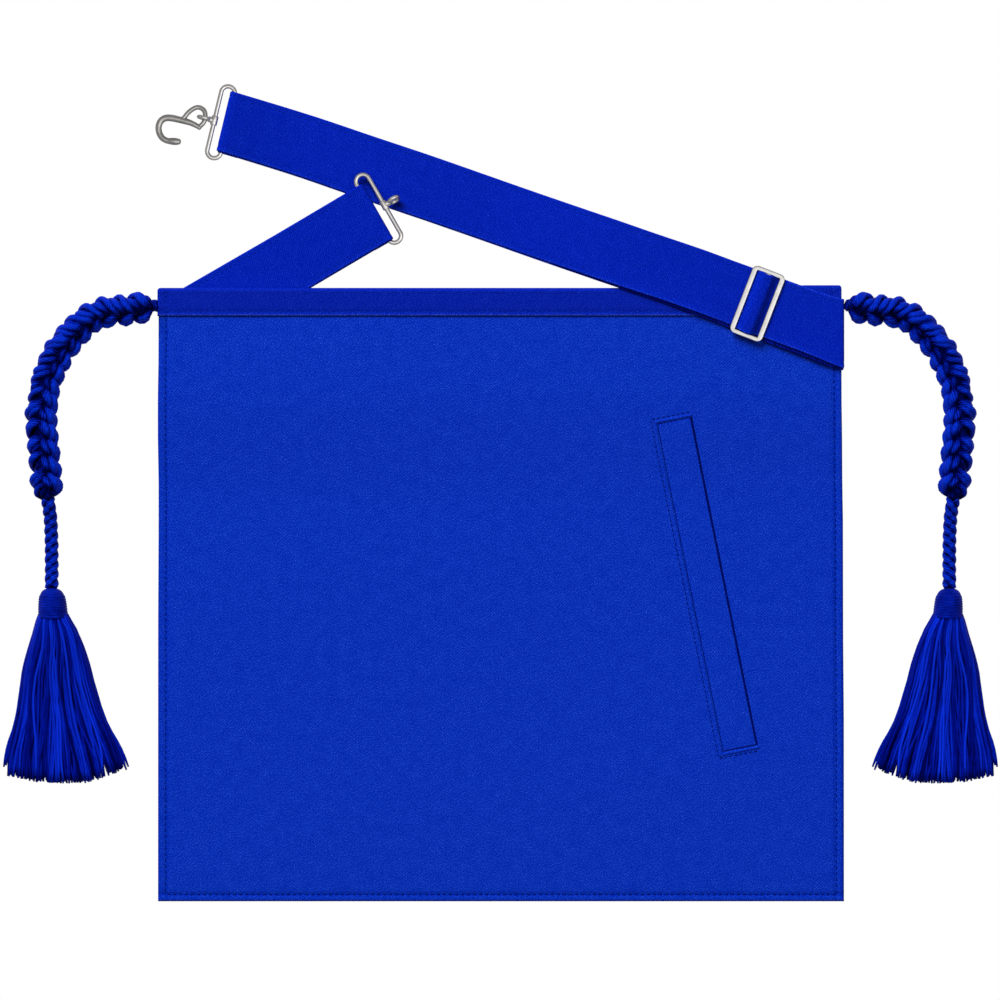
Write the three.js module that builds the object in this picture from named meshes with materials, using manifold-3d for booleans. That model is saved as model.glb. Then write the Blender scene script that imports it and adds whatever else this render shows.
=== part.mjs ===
// Ceremonial cloth apron, seen from its back, lying flat with its waist belt above it.
// Millimetres, +Z up. While it is built, the origin is the middle of the apron's top edge on the floor,
// with +X to the right and +Y up the apron. The last lines move it to the middle of the whole thing.

import * as THREE from 'three';
import { mergeVertices } from 'three/addons/utils/BufferGeometryUtils.js';
import Module from 'manifold-3d';

const wasm = await Module();
wasm.setup();

// Driving dimensions of the cloth
const gap = 0.3;
const apronWidth = 410;
const apronHeight = 368;
const apronWall = 2.4;
const apronCorner = 1.6;
const bandDepth = 17;
const bandWall = 1;
const strapWidth = 37.2;
const strapWall = 1.5;

// The pocket: a slanted welt, whose right long side is the mouth
const weltLength = 200;
const weltWidth = 20;
const weltWall = 1;
const weltTilt = 11.4;
const weltInset = 81.2;
const weltDrop = 178;
const mouthGap = 0.8;

// The belt: both straps start near the sides, at one height, on the hidden face
const strapDrop = 29.2;
const longReach = 391.8;
const longHeadingStart = 21.9;
const longHeadingEnd = 16.2;
const longEndTurn = 12;
const longTail = 18;
const shortReach = 151.8;
const shortHeading = 30;
const shortTailInset = 8;
const lapLength = 12.5;

// The metal: two wire loops, a slide and a hook
const loopWire = 2.4;
const loopDepth = 8.6;
const loopEndRoom = 4.6;
const eyeWire = 1.5;
const eyeDiameter = 8.4;
const catchEyeLean = 21;
const slidePlace = 54.5;
const slideWidth = 19.5;
const slideBar = 2.9;
const slideMiddleBar = 2.6;
const slideEndBar = 1.9;
const slideWall = 1.4;
const slideCorner = 1.2;
const hookLength = 32;
const hookWire = 3.8;
const hookEyeWire = 2.7;

// The plaits, cords and tassels
const plaitDiameter = 17;
const neckDiameter = 6;
const cordDiameter = 7.6;
const headLength = 18;
const headTop = 12;
const headBase = 18.6;
const skirtLength = 101;
const skirtTopWidth = 23;
const skirtWidth = 74;
const skirtTipDepth = 6.4;

// Layers, from the floor up: hidden strap end, binding, apron, binding, strap
const bandUnder = strapWall + gap;
const apronRise = bandUnder + bandWall + gap;
const bandOver = apronRise + apronWall + gap;
const strapOver = bandOver + bandWall + gap;
const side = apronWidth / 2;
const panelTop = -(bandWall + gap);

const radians = THREE.MathUtils.degToRad;
const smooth = (from, to, value) => THREE.MathUtils.smoothstep(value, from, to);

const cloth = new THREE.MeshStandardMaterial({ color: 0x1036b9, roughness: 0.75, metalness: 0 });
const strapCloth = new THREE.MeshStandardMaterial({ color: 0x0423b1, roughness: 0.7, metalness: 0 });
const thread = new THREE.MeshStandardMaterial({ color: 0x061589, roughness: 0.8, metalness: 0 });
const nickel = new THREE.MeshStandardMaterial({ color: 0xb4b0aa, roughness: 0.3, metalness: 1 });

// Closed meshes

function signedVolume(geometry) {
  const place = geometry.getAttribute('position');
  const index = geometry.getIndex();
  const corners = [new THREE.Vector3(), new THREE.Vector3(), new THREE.Vector3()];
  let sum = 0;
  for (let i = 0; i < index.count; i += 3) {
    corners.forEach((corner, k) => corner.fromBufferAttribute(place, index.getX(i + k)));
    sum += corners[0].dot(corners[1].clone().cross(corners[2])) / 6;
  }
  return sum;
}

// Faces of a closed mesh, turned to point out
function outward(geometry) {
  if (signedVolume(geometry) < 0) {
    const index = geometry.getIndex();
    for (let i = 0; i < index.count; i += 3) {
      const second = index.getX(i + 1);
      index.setX(i + 1, index.getX(i + 2));
      index.setX(i + 2, second);
    }
  }
  return geometry;
}

// Skin over a row of convex rings of equally many points, capped at its ends or closed on itself
function loft(rings, closed = false) {
  const sides = rings[0].length;
  const places = rings.flat().flatMap((point) => [point.x, point.y, point.z]);
  const faces = [];
  const spans = closed ? rings.length : rings.length - 1;
  for (let i = 0; i < spans; i++) {
    const here = i * sides;
    const next = ((i + 1) % rings.length) * sides;
    for (let k = 0; k < sides; k++) {
      const along = (k + 1) % sides;
      faces.push(here + k, here + along, next + along);
      faces.push(here + k, next + along, next + k);
    }
  }
  if (!closed) {
    const last = (rings.length - 1) * sides;
    for (let k = 1; k < sides - 1; k++) {
      faces.push(0, k + 1, k);
      faces.push(last, last + k, last + k + 1);
    }
  }
  const geometry = new THREE.BufferGeometry();
  geometry.setAttribute('position', new THREE.Float32BufferAttribute(places, 3));
  geometry.setIndex(faces);
  return outward(geometry);
}

// A geometry with its shared corners merged, ready to join or cut
function solid(geometry) {
  const plain = geometry.clone();
  plain.deleteAttribute('normal');
  plain.deleteAttribute('uv');
  const merged = outward(mergeVertices(plain, 1e-4));
  return new wasm.Manifold(new wasm.Mesh({
    numProp: 3,
    vertProperties: new Float32Array(merged.getAttribute('position').array),
    triVerts: new Uint32Array(merged.getIndex().array),
  }));
}

function geometryOf(manifold) {
  const { vertProperties, triVerts } = manifold.getMesh();
  const geometry = new THREE.BufferGeometry();
  geometry.setAttribute('position', new THREE.BufferAttribute(new Float32Array(vertProperties), 3));
  geometry.setIndex(new THREE.BufferAttribute(new Uint32Array(triVerts), 1));
  return geometry;
}

function joined(geometries) {
  return geometryOf(geometries.map(solid).reduce((whole, piece) => whole.add(piece)));
}

// Round rod along a curve, with its radius at each share of the curve's length
function rod(curve, radiusAt, sides, steps) {
  const frames = curve.computeFrenetFrames(steps, false);
  const rings = [];
  for (let i = 0; i <= steps; i++) {
    const share = i / steps;
    const centre = curve.getPointAt(share);
    const ring = [];
    for (let k = 0; k < sides; k++) {
      const angle = 2 * Math.PI * k / sides;
      const spoke = frames.normals[i].clone().multiplyScalar(Math.cos(angle));
      spoke.addScaledVector(frames.binormals[i], Math.sin(angle));
      ring.push(centre.clone().addScaledVector(spoke, radiusAt(share)));
    }
    rings.push(ring);
  }
  return loft(rings);
}

// Value at a share, from a short table of rows sorted by their share
function fromTable(rows, share, column) {
  const next = rows.findIndex((row) => row.share >= share);
  if (next <= 0) {
    return rows[next < 0 ? rows.length - 1 : 0][column];
  }
  const before = rows[next - 1];
  const after = rows[next];
  const part = (share - before.share) / (after.share - before.share);
  return before[column] + (after[column] - before[column]) * part;
}

const apron = new THREE.Group();

function add(parent, name, geometry, material) {
  const mesh = new THREE.Mesh(geometry, material);
  mesh.name = name;
  parent.add(mesh);
  return mesh;
}

// Apron panel: flat on the floor, and raised at its top by the hidden strap ends

const longHalf = strapWidth / 2 / Math.cos(radians(longHeadingStart));
const shortHalf = strapWidth / 2 / Math.cos(radians(shortHeading));
const raisedTo = strapDrop + Math.max(
  longHalf + longTail * Math.tan(radians(longHeadingStart)),
  shortHalf,
) + 2;
const rampLength = 72;

function panelLift(y) {
  return apronRise * (1 - smooth(raisedTo, raisedTo + rampLength, -y));
}

function cornerInset(y) {
  const fromEnd = Math.min(y + apronHeight, panelTop - y);
  const inside = Math.max(0, apronCorner - fromEnd);
  return apronCorner - Math.sqrt(apronCorner ** 2 - inside ** 2);
}

function panelGeometry() {
  const heights = [0, 0.3, 1].map((part) => -apronHeight + part * apronCorner);
  const rampSteps = 10;
  for (let i = 0; i <= rampSteps; i++) {
    heights.push(-raisedTo - rampLength * (1 - i / rampSteps));
  }
  heights.push(...[1, 0.3, 0].map((part) => panelTop - part * apronCorner));
  const rings = heights.map((y) => {
    const x = side - cornerInset(y);
    const z = panelLift(y);
    return [
      new THREE.Vector3(-x, y, z),
      new THREE.Vector3(x, y, z),
      new THREE.Vector3(x, y, z + apronWall),
      new THREE.Vector3(-x, y, z + apronWall),
    ];
  });
  return loft(rings);
}

// Slanted slab that follows the panel's rise, from one height over its underside to another
function pocketSlab(length, left, right, low, high) {
  const steps = 12;
  const up = new THREE.Vector2(-Math.sin(radians(weltTilt)), Math.cos(radians(weltTilt)));
  const across = new THREE.Vector2(up.y, -up.x);
  const rings = [];
  for (let i = 0; i <= steps; i++) {
    const along = length * (i / steps - 0.5);
    const ring = [[left, low], [right, low], [right, high], [left, high]].map(([v, z]) => {
      const x = side - weltInset + up.x * along + across.x * v;
      const y = -weltDrop + up.y * along + across.y * v;
      return new THREE.Vector3(x, y, panelLift(y) + z);
    });
    rings.push(ring);
  }
  return loft(rings);
}

const pocketFloor = apronWall - weltWall - gap;
const recess = pocketSlab(
  weltLength + 2 * gap,
  -weltWidth / 2 - gap,
  weltWidth / 2 + mouthGap,
  pocketFloor,
  apronWall + 1,
);
const panel = geometryOf(solid(panelGeometry()).subtract(solid(recess)));
add(apron, 'apron_body', panel, cloth);

const welt = pocketSlab(weltLength, -weltWidth / 2, weltWidth / 2, pocketFloor + gap, apronWall);
add(apron, 'pocket_welt', welt, cloth);

// Binding folded over the panel's top edge, drawn across its fold and extruded along the apron
const bandOutline = new THREE.Shape([
  [-bandDepth, bandUnder],
  [-bandWall * 0.4, bandUnder],
  [0, bandUnder + bandWall * 0.4],
  [0, bandOver + bandWall * 0.6],
  [-bandWall * 0.4, bandOver + bandWall],
  [-bandDepth, bandOver + bandWall],
  [-bandDepth, bandOver],
  [-bandWall, bandOver],
  [-bandWall, bandUnder + bandWall],
  [-bandDepth, bandUnder + bandWall],
].map(([y, z]) => new THREE.Vector2(y, z)));
const bandGeometry = new THREE.ExtrudeGeometry(bandOutline, { depth: apronWidth, bevelEnabled: false });
bandGeometry.applyMatrix4(new THREE.Matrix4().set(
  0, 0, 1, -side,
  1, 0, 0, 0,
  0, 1, 0, 0,
  0, 0, 0, 1,
));
add(apron, 'top_band', bandGeometry, strapCloth);

// Straps: each is a ribbon along a track of places {run, along, height, round}

// Corners of a track eased by their rounding, with stations on its long stretches
function easedTrack(corners, stationStep) {
  const points = corners.map(({ along, height }) => new THREE.Vector2(along, height));
  const track = [{ ...corners[0], point: points[0] }];
  const addTo = (point, corner) => {
    const last = track[track.length - 1];
    const stations = Math.ceil(last.point.distanceTo(point) / stationStep);
    for (let i = 1; i <= stations; i++) {
      track.push({ run: corner.run, point: last.point.clone().lerp(point, i / stations) });
    }
  };
  for (let i = 1; i < corners.length - 1; i++) {
    const bend = corners[i].round;
    const before = points[i].clone().sub(points[i - 1]).setLength(bend);
    const after = points[i + 1].clone().sub(points[i]).setLength(bend);
    const start = points[i].clone().sub(before);
    const end = points[i].clone().add(after);
    const turn = new THREE.QuadraticBezierCurve(start, points[i], end);
    addTo(start, corners[i]);
    turn.getPoints(4).slice(1).forEach((point) => track.push({ run: corners[i].run, point }));
  }
  addTo(points[points.length - 1], corners[corners.length - 1]);
  return track;
}

// Ribbon over a track: planAt gives the centre, half width and turn of the section at each place
function ribbon(track, planAt) {
  const half = strapWall / 2;
  const rings = track.map(({ run, point }, i) => {
    const before = track[Math.max(0, i - 1)].point;
    const after = track[Math.min(track.length - 1, i + 1)].point;
    const first = i > 0 ? point.clone().sub(before).normalize() : after.clone().sub(point).normalize();
    const second = i < track.length - 1 ? after.clone().sub(point).normalize() : first;
    const middle = first.clone().add(second).normalize();
    const wall = half / Math.max(0.7, middle.dot(first));
    const { centre, halfWidth, widthways, lengthways } = planAt(run, point.x);
    const thick = lengthways.clone().multiplyScalar(-middle.y * wall);
    return [[-1, -1], [1, -1], [1, 1], [-1, 1]].map(([w, t]) => new THREE.Vector3(
      centre.x + widthways.x * halfWidth * w + thick.x * t,
      centre.y + widthways.y * halfWidth * w + thick.y * t,
      point.y + middle.x * wall * t,
    ));
  });
  return loft(rings);
}

// The place of the eye-end fold: the bar's radius, its clearance and half the cloth
const foldRadius = loopWire / 2 + gap + strapWall / 2;
const floorLayer = strapWall / 2;
const lapLayer = floorLayer + strapWall + gap;

// Long strap: hidden end, fold round the apron's right side, slide, slope to the floor, fold round a bar
const longTurn = radians(longHeadingStart - longHeadingEnd);
const longRadius = longReach / (2 * Math.sin(longTurn / 2));
const longLength = longRadius * longTurn - strapWall / 2;
const sectionTurns = [
  { share: 0, turn: 0 },
  { share: 0.1, turn: longHeadingStart - 0.1 * (longHeadingStart - longHeadingEnd) },
  { share: 0.85, turn: longHeadingStart - 0.85 * (longHeadingStart - longHeadingEnd) },
  { share: 1, turn: longEndTurn },
];

function longPlan(run, along) {
  const start = radians(longHeadingStart);
  const inside = Math.max(0, along);
  const heading = start - inside / longRadius;
  const under = run === 'under';
  const reach = Math.min(0, along) + longRadius * (Math.sin(start) - Math.sin(heading));
  const rise = longRadius * (Math.cos(heading) - Math.cos(start)) * (under ? -1 : 1);
  const turn = under ? 0 : radians(fromTable(sectionTurns, inside / longLength, 'turn'));
  return {
    centre: new THREE.Vector2(side - reach, -strapDrop + rise),
    halfWidth: strapWidth / 2 / Math.cos(heading - turn),
    widthways: new THREE.Vector2(Math.sin(turn), Math.cos(turn)),
    lengthways: new THREE.Vector2(-Math.cos(turn), Math.sin(turn)),
  };
}

const overLayer = strapOver + strapWall / 2;
const slideUnder = strapOver + strapWall + gap;
const bulgeLayer = slideUnder + slideWall + gap + strapWall / 2;
const windowHalf = slideWidth / 2 - slideBar;
const sideFold = gap + strapWall / 2;
const sideBend = strapWall * 0.93;
const leavesApron = (strapDrop + longHalf) / Math.tan(radians(longHeadingStart)) + 25;
const slopeLength = 75;
const bulgeFoot = windowHalf - 0.6;
const bulgeTop = slideMiddleBar / 2 + 0.9;
const longCorners = [
  { run: 'under', along: longTail, height: floorLayer },
  { run: 'under', along: -sideFold, height: floorLayer, round: sideBend },
  { run: 'over', along: -sideFold, height: overLayer, round: sideBend },
  { run: 'over', along: slidePlace - bulgeFoot, height: overLayer, round: 1.2 },
  { run: 'over', along: slidePlace - bulgeTop, height: bulgeLayer, round: 1.2 },
  { run: 'over', along: slidePlace + bulgeTop, height: bulgeLayer, round: 1.2 },
  { run: 'over', along: slidePlace + bulgeFoot, height: overLayer, round: 1.2 },
  { run: 'over', along: leavesApron, height: overLayer, round: 18 },
  { run: 'over', along: leavesApron + slopeLength, height: floorLayer, round: 18 },
  { run: 'over', along: longLength - 3.4 * lapLength, height: floorLayer, round: 6 },
  { run: 'over', along: longLength - 1.5 * lapLength, height: lapLayer, round: 6 },
  { run: 'over', along: longLength - 3.4 * foldRadius, height: lapLayer, round: 1.5 },
  { run: 'over', along: longLength - 1.5 * foldRadius, height: 2 * foldRadius + floorLayer, round: 0.9 },
  { run: 'over', along: longLength, height: 2 * foldRadius + floorLayer, round: foldRadius * 0.98 },
  { run: 'over', along: longLength, height: floorLayer, round: foldRadius * 0.98 },
  { run: 'over', along: longLength - lapLength, height: floorLayer },
];
add(apron, 'long_strap', ribbon(easedTrack(longCorners, 16), longPlan), strapCloth);

// Short strap: hidden end, along the floor, then up on the long strap, and folded round a bar
const shortLength = shortReach - strapWall / 2;
const shortTurns = [
  { share: 0, turn: 0 },
  { share: 0.3, turn: shortHeading },
  { share: 1, turn: shortHeading },
];

function shortPlan(run, along) {
  const heading = radians(shortHeading);
  const turn = radians(fromTable(shortTurns, along / shortLength, 'turn'));
  return {
    centre: new THREE.Vector2(
      -side + along * Math.cos(heading),
      -strapDrop + along * Math.sin(heading),
    ),
    halfWidth: strapWidth / 2 / Math.cos(heading - turn),
    widthways: new THREE.Vector2(-Math.sin(turn), Math.cos(turn)),
    lengthways: new THREE.Vector2(Math.cos(turn), Math.sin(turn)),
  };
}

const onStrap = strapWall + gap;
const leavesBand = strapDrop / Math.sin(radians(shortHeading))
  + strapWidth / 2 / Math.tan(radians(shortHeading)) + 2;
const shortCorners = [
  { along: shortTailInset, height: floorLayer },
  { along: leavesBand, height: floorLayer, round: 5 },
  { along: shortLength - 2.2 * lapLength, height: onStrap + lapLayer, round: 8 },
  { along: shortLength - 3.4 * foldRadius, height: onStrap + lapLayer, round: 1.5 },
  { along: shortLength - 1.5 * foldRadius, height: onStrap + 2 * foldRadius + floorLayer, round: 0.9 },
  { along: shortLength, height: onStrap + 2 * foldRadius + floorLayer, round: foldRadius * 0.98 },
  { along: shortLength, height: onStrap + floorLayer, round: foldRadius * 0.98 },
  { along: shortLength - lapLength, height: onStrap + floorLayer },
];
add(apron, 'short_strap', ribbon(easedTrack(shortCorners, 16), shortPlan), strapCloth);

// Slide: a rounded frame with a middle bar, under the strap's bulge and over the strap's two sides
function roundedRectangle(width, height, radius) {
  const points = [];
  for (const [x, y, from] of [[1, -1, -90], [1, 1, 0], [-1, 1, 90], [-1, -1, 180]]) {
    for (let i = 0; i <= 3; i++) {
      const angle = radians(from + 30 * i);
      points.push(new THREE.Vector2(
        x * (width / 2 - radius) + radius * Math.cos(angle),
        y * (height / 2 - radius) + radius * Math.sin(angle),
      ));
    }
  }
  return points;
}

const slideWindow = strapWidth + 2 * gap;
const slideHeight = slideWindow + 2 * slideEndBar;
const slideOutline = new THREE.Shape(roundedRectangle(slideWidth, slideHeight, slideCorner));
const slidePlate = new THREE.ExtrudeGeometry(slideOutline, { depth: slideWall, bevelEnabled: false });
const halfWindow = windowHalf - slideMiddleBar / 2;
const slideGeometry = geometryOf([-1, 1].reduce((plate, way) => {
  const hole = new THREE.BoxGeometry(halfWindow, slideWindow, 3 * slideWall);
  hole.translate(way * (slideMiddleBar + halfWindow) / 2, 0, 0);
  return plate.subtract(solid(hole));
}, solid(slidePlate)));
const slidePlan = longPlan('over', slidePlace);
const slide = add(apron, 'strap_slide', slideGeometry, nickel);
slide.position.set(slidePlan.centre.x, slidePlan.centre.y, slideUnder);
slide.rotation.z = Math.atan2(slidePlan.lengthways.y, slidePlan.lengthways.x);

// Wire loops: a long rounded loop lies in its own XY plane, its hidden bar at the origin along Y,
// its other bar at +X with a collar and an eye
const loopHalf = strapWidth / 2 + loopEndRoom - loopWire / 2;
const loopBend = loopDepth / 2;

function loopRing(sides) {
  const straight = loopHalf - loopBend;
  const places = [];
  for (const [way, from] of [[1, 180], [-1, 0]]) {
    for (let i = 0; i <= 6; i++) {
      const angle = radians(from - 30 * i);
      places.push(new THREE.Vector3(
        loopBend + loopBend * Math.cos(angle),
        way * straight + loopBend * Math.sin(angle),
        0,
      ));
    }
  }
  const rings = places.map((centre, i) => {
    const before = places[(i + places.length - 1) % places.length];
    const after = places[(i + 1) % places.length];
    const tangent = after.clone().sub(centre).normalize().add(centre.clone().sub(before).normalize());
    const outside = new THREE.Vector3(tangent.y, -tangent.x, 0).normalize();
    const ring = [];
    for (let k = 0; k < sides; k++) {
      const angle = 2 * Math.PI * (k + 0.5) / sides;
      const point = centre.clone().addScaledVector(outside, Math.cos(angle) * loopWire / 2);
      point.z += Math.sin(angle) * loopWire / 2;
      ring.push(point);
    }
    return ring;
  });
  return loft(rings, true);
}

// Loop with its collar, stem and eye, soldered to one solid. The eye's ring stands on edge, leant by lean.
function eyedLoop(lean) {
  const collar = new THREE.CylinderGeometry(loopWire * 0.8, loopWire * 0.8, loopWire * 2, 10);
  collar.translate(loopDepth, 0, 0);
  const stemLength = loopWire / 2 + eyeWire;
  const stem = new THREE.CylinderGeometry(eyeWire * 0.75, eyeWire * 0.75, stemLength, 8);
  stem.rotateZ(Math.PI / 2);
  stem.translate(loopDepth + stemLength / 2, 0, 0);
  const ringRadius = (eyeDiameter - eyeWire) / 2;
  const eye = new THREE.TorusGeometry(ringRadius, eyeWire / 2, 6, 14);
  eye.rotateX(Math.PI / 2 - radians(lean));
  eye.translate(loopDepth + stemLength + ringRadius - eyeWire * 0.25, 0, 0);
  return joined([loopRing(6), collar, stem, eye]);
}

const eyeReach = loopDepth + loopWire / 2 + eyeWire * 0.75 + (eyeDiameter - eyeWire) / 2;

// Places a loop at a strap's folded end, with its far bar lifted so that its eye clears what it lies on
function placeLoop(name, plan, height, farHeight, lean) {
  const holder = new THREE.Group();
  holder.position.set(plan.centre.x, plan.centre.y, height);
  holder.rotation.z = Math.atan2(plan.lengthways.y, plan.lengthways.x);
  apron.add(holder);
  const loop = add(holder, name, eyedLoop(lean), nickel);
  loop.rotation.y = -Math.atan2(farHeight - height, eyeReach);
  return loop;
}

const barHeight = strapWall + gap + loopWire / 2;
const barPlan = longPlan('over', longLength - foldRadius);
const eyeHeight = eyeDiameter / 2 + 0.1;
placeLoop('hook_loop', barPlan, barHeight, eyeHeight, 0);
const catchPlan = shortPlan('over', shortLength - foldRadius);
const catchHeight = strapWall + gap + eyeDiameter / 2 * Math.cos(radians(catchEyeLean)) + 0.3;
placeLoop('catch_loop', catchPlan, onStrap + barHeight, catchHeight, catchEyeLean);

// Hook: an open bend and a closed eye in one plane. Its places are shares of its length, in its own
// frame, with the eye's linked wire at the origin and the open bend at -X
const hookBend = [
  { x: -0.52, y: -0.455 },
  { x: -0.6, y: -0.475 },
  { x: -0.7, y: -0.47 },
  { x: -0.82, y: -0.415 },
  { x: -0.9, y: -0.29 },
  { x: -0.895, y: -0.15 },
  { x: -0.81, y: -0.04 },
  { x: -0.69, y: -0.015 },
  { x: -0.45, y: -0.045 },
  { x: -0.22, y: -0.08 },
  { x: -0.09, y: -0.105 },
];
const hookEye = [
  { x: -0.46, y: -0.03 },
  { x: -0.37, y: 0.07 },
  { x: -0.25, y: 0.185 },
  { x: -0.14, y: 0.215 },
  { x: -0.04, y: 0.135 },
  { x: 0, y: 0 },
  { x: -0.025, y: -0.11 },
  { x: -0.13, y: -0.175 },
];

function hookRod(rows, wire, radiusAt, sides, steps) {
  const places = rows.map(({ x, y }) => new THREE.Vector3(x * hookLength, y * hookLength, 0));
  const curve = new THREE.CatmullRomCurve3(places, false, 'centripetal');
  return rod(curve, (share) => wire / 2 * radiusAt(share), sides, steps);
}

const hookTaper = [
  { share: 0, size: 0.8 },
  { share: 0.05, size: 1.12 },
  { share: 0.14, size: 1 },
  { share: 0.75, size: 0.95 },
  { share: 1, size: 0.66 },
];
const hookGeometry = joined([
  hookRod(hookBend, hookWire, (share) => fromTable(hookTaper, share, 'size'), 8, 26),
  hookRod(hookEye, hookEyeWire, () => 1, 6, 18),
]);
const eyeOffset = gap * 2;
const hookEyeHeight = eyeHeight - eyeOffset;
const eyePlace = new THREE.Vector2()
  .copy(barPlan.centre)
  .addScaledVector(barPlan.lengthways, eyeReach - eyeOffset);
const hookHolder = new THREE.Group();
hookHolder.position.set(eyePlace.x, eyePlace.y, hookEyeHeight);
apron.add(hookHolder);
const hook = add(hookHolder, 'snake_hook', hookGeometry, nickel);
hook.rotation.y = -Math.asin((hookEyeHeight - hookWire * 0.56) / (0.9 * hookLength));

// Plaits and cords: places chosen by hand, on the left side. The right side is their mirror image.
const plaitFloor = plaitDiameter / 2 + 0.05;
const cordFloor = cordDiameter / 2 + 0.05;
const plaitRoute = [
  [-215.7, -11.7, plaitFloor],
  [-221.1, -12.6, plaitFloor],
  [-228.3, -13.6, plaitFloor],
  [-235.5, -14.4, plaitFloor],
  [-242.7, -16.4, plaitFloor],
  [-249.7, -21.6, plaitFloor],
  [-256.6, -28.6, plaitFloor],
  [-263.8, -37.6, plaitFloor],
  [-269.6, -48.4, plaitFloor],
  [-273, -58.4, plaitFloor],
  [-274.6, -68, plaitFloor],
  [-275.4, -79.2, plaitFloor],
  [-274.5, -91.2, plaitFloor],
  [-273.3, -103.2, plaitFloor],
  [-272.3, -115.2, plaitFloor],
  [-271.7, -126, plaitFloor],
];
const cordRoute = [
  [-271.7, -126.4, plaitFloor],
  [-271.5, -129, 8.5],
  [-271.2, -132, 7.5],
  [-270.9, -135.5, 5.9],
  [-270.6, -139.8, 4.6],
  [-270.4, -145, 4],
  [-270.2, -151, cordFloor],
  [-270.1, -157, cordFloor],
  [-270.1, -163, cordFloor],
  [-270, -168, 4],
  [-269.9, -172, 4.4],
  [-269.8, -176, 5.1],
  [-269.7, -179.7, 5.9],
];
const neckRoutes = {
  left: [[-0.4, -10.6, 4.3], [-2.4, -10.7, 4.4], [-6, -11.1, 7.2], [-9, -11.5, 8.8], [-10.2, -11.7, 8.8]],
  right: [[-2.4, -10.4, 4.3], [-3.4, -10.5, 4.4], [-6.5, -11.1, 7.2], [-9, -11.5, 8.8], [-10.2, -11.7, 8.8]],
};
const neckTaper = [
  { share: 0, size: 1 },
  { share: 0.35, size: 1 },
  { share: 1, size: 2.7 },
];

function routeCurve(places) {
  return new THREE.CatmullRomCurve3(places.map((place) => new THREE.Vector3(...place)), false, 'centripetal');
}

function cordTube(places, diameter, sides, steps) {
  const section = new THREE.Shape();
  for (let k = 0; k < sides; k++) {
    const angle = 2 * Math.PI * k / sides;
    const corner = [Math.cos(angle) * diameter / 2, Math.sin(angle) * diameter / 2];
    if (k === 0) {
      section.moveTo(...corner);
    } else {
      section.lineTo(...corner);
    }
  }
  return new THREE.ExtrudeGeometry(section, { extrudePath: routeCurve(places), steps, bevelEnabled: false });
}

// Tassel: a round head with its axis along -Y, and locks of thread that fan out from it and lie down.
// Its own frame has the head's top at the origin, on the floor.
const headSections = [
  { share: 0, size: 0.62 },
  { share: 0.06, size: 1 },
  { share: 0.3, size: 1.08 },
  { share: 0.6, size: 1.3 },
  { share: 0.85, size: 1.52 },
  { share: 1, size: 1.55 },
];

function tasselHead() {
  const profile = headSections.map(({ share, size }) => new THREE.Vector2(headTop / 2 * size, -share * headLength));
  profile.unshift(new THREE.Vector2(0, 0));
  profile.push(new THREE.Vector2(0, -headLength));
  const head = new THREE.LatheGeometry(profile.reverse(), 12);
  head.rotateX(-Math.asin((headBase - headTop) / 2 / headLength));
  head.translate(0, 0, headTop / 2 + 0.4);
  return head;
}

const lockSections = [
  { share: 0, spread: 0, width: 0.5, depth: 1 },
  { share: 0.12, spread: 0.22, width: 0.72, depth: 0.86 },
  { share: 0.4, spread: 0.5, width: 1, depth: 0.34 },
  { share: 0.75, spread: 0.78, width: 1.12, depth: 0.05 },
  { share: 0.95, spread: 0.97, width: 1, depth: -0.08 },
  { share: 1, spread: 1, width: 0.5, depth: -0.34 },
];
const layerStep = 1.45;

function lock(lane, layer, lengthShare, lockWidth) {
  const startHalf = skirtTopWidth / 2 - lockWidth * 0.36;
  const endHalf = skirtWidth / 2 - lockWidth / 2;
  const tipHalf = skirtTipDepth / (2 + layerStep);
  const headHalf = headBase * 0.92 / (2 + layerStep);
  const length = skirtLength * lengthShare * (1 - 0.06 * lane * lane);
  const rings = lockSections.map(({ share, spread, width, depth }) => {
    const x = lane * (startHalf * 0.72 + (endHalf - startHalf * 0.72) * spread);
    const y = -headLength + 2 - length * share;
    const halfHeight = tipHalf + (headHalf - tipHalf) * depth;
    const z = 0.1 + halfHeight * (1 + layer * layerStep);
    const ring = [];
    for (let k = 0; k < 6; k++) {
      const angle = radians(60 * k);
      ring.push(new THREE.Vector3(
        x + Math.cos(angle) * lockWidth / 2 * width,
        y,
        z + Math.sin(angle) * halfHeight / Math.cos(radians(30)),
      ));
    }
    return ring;
  });
  return loft(rings);
}

const lockRows = [
  { layer: 0, lanes: 7, reach: 1, width: 12 },
  { layer: 1, lanes: 5, reach: 0.8, width: 13 },
];
const lockLengths = [1, 0.97, 0.99, 0.95, 1, 0.96, 0.98];

function tasselGeometry() {
  const pieces = [tasselHead(), lock(0, 0.55, 0.45, skirtTopWidth * 1.3)];
  for (const { layer, lanes, reach, width } of lockRows) {
    for (let i = 0; i < lanes; i++) {
      const lane = reach * (2 * i / (lanes - 1) - 1);
      pieces.push(lock(lane, layer, lockLengths[i], width));
    }
  }
  return joined(pieces);
}

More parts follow.
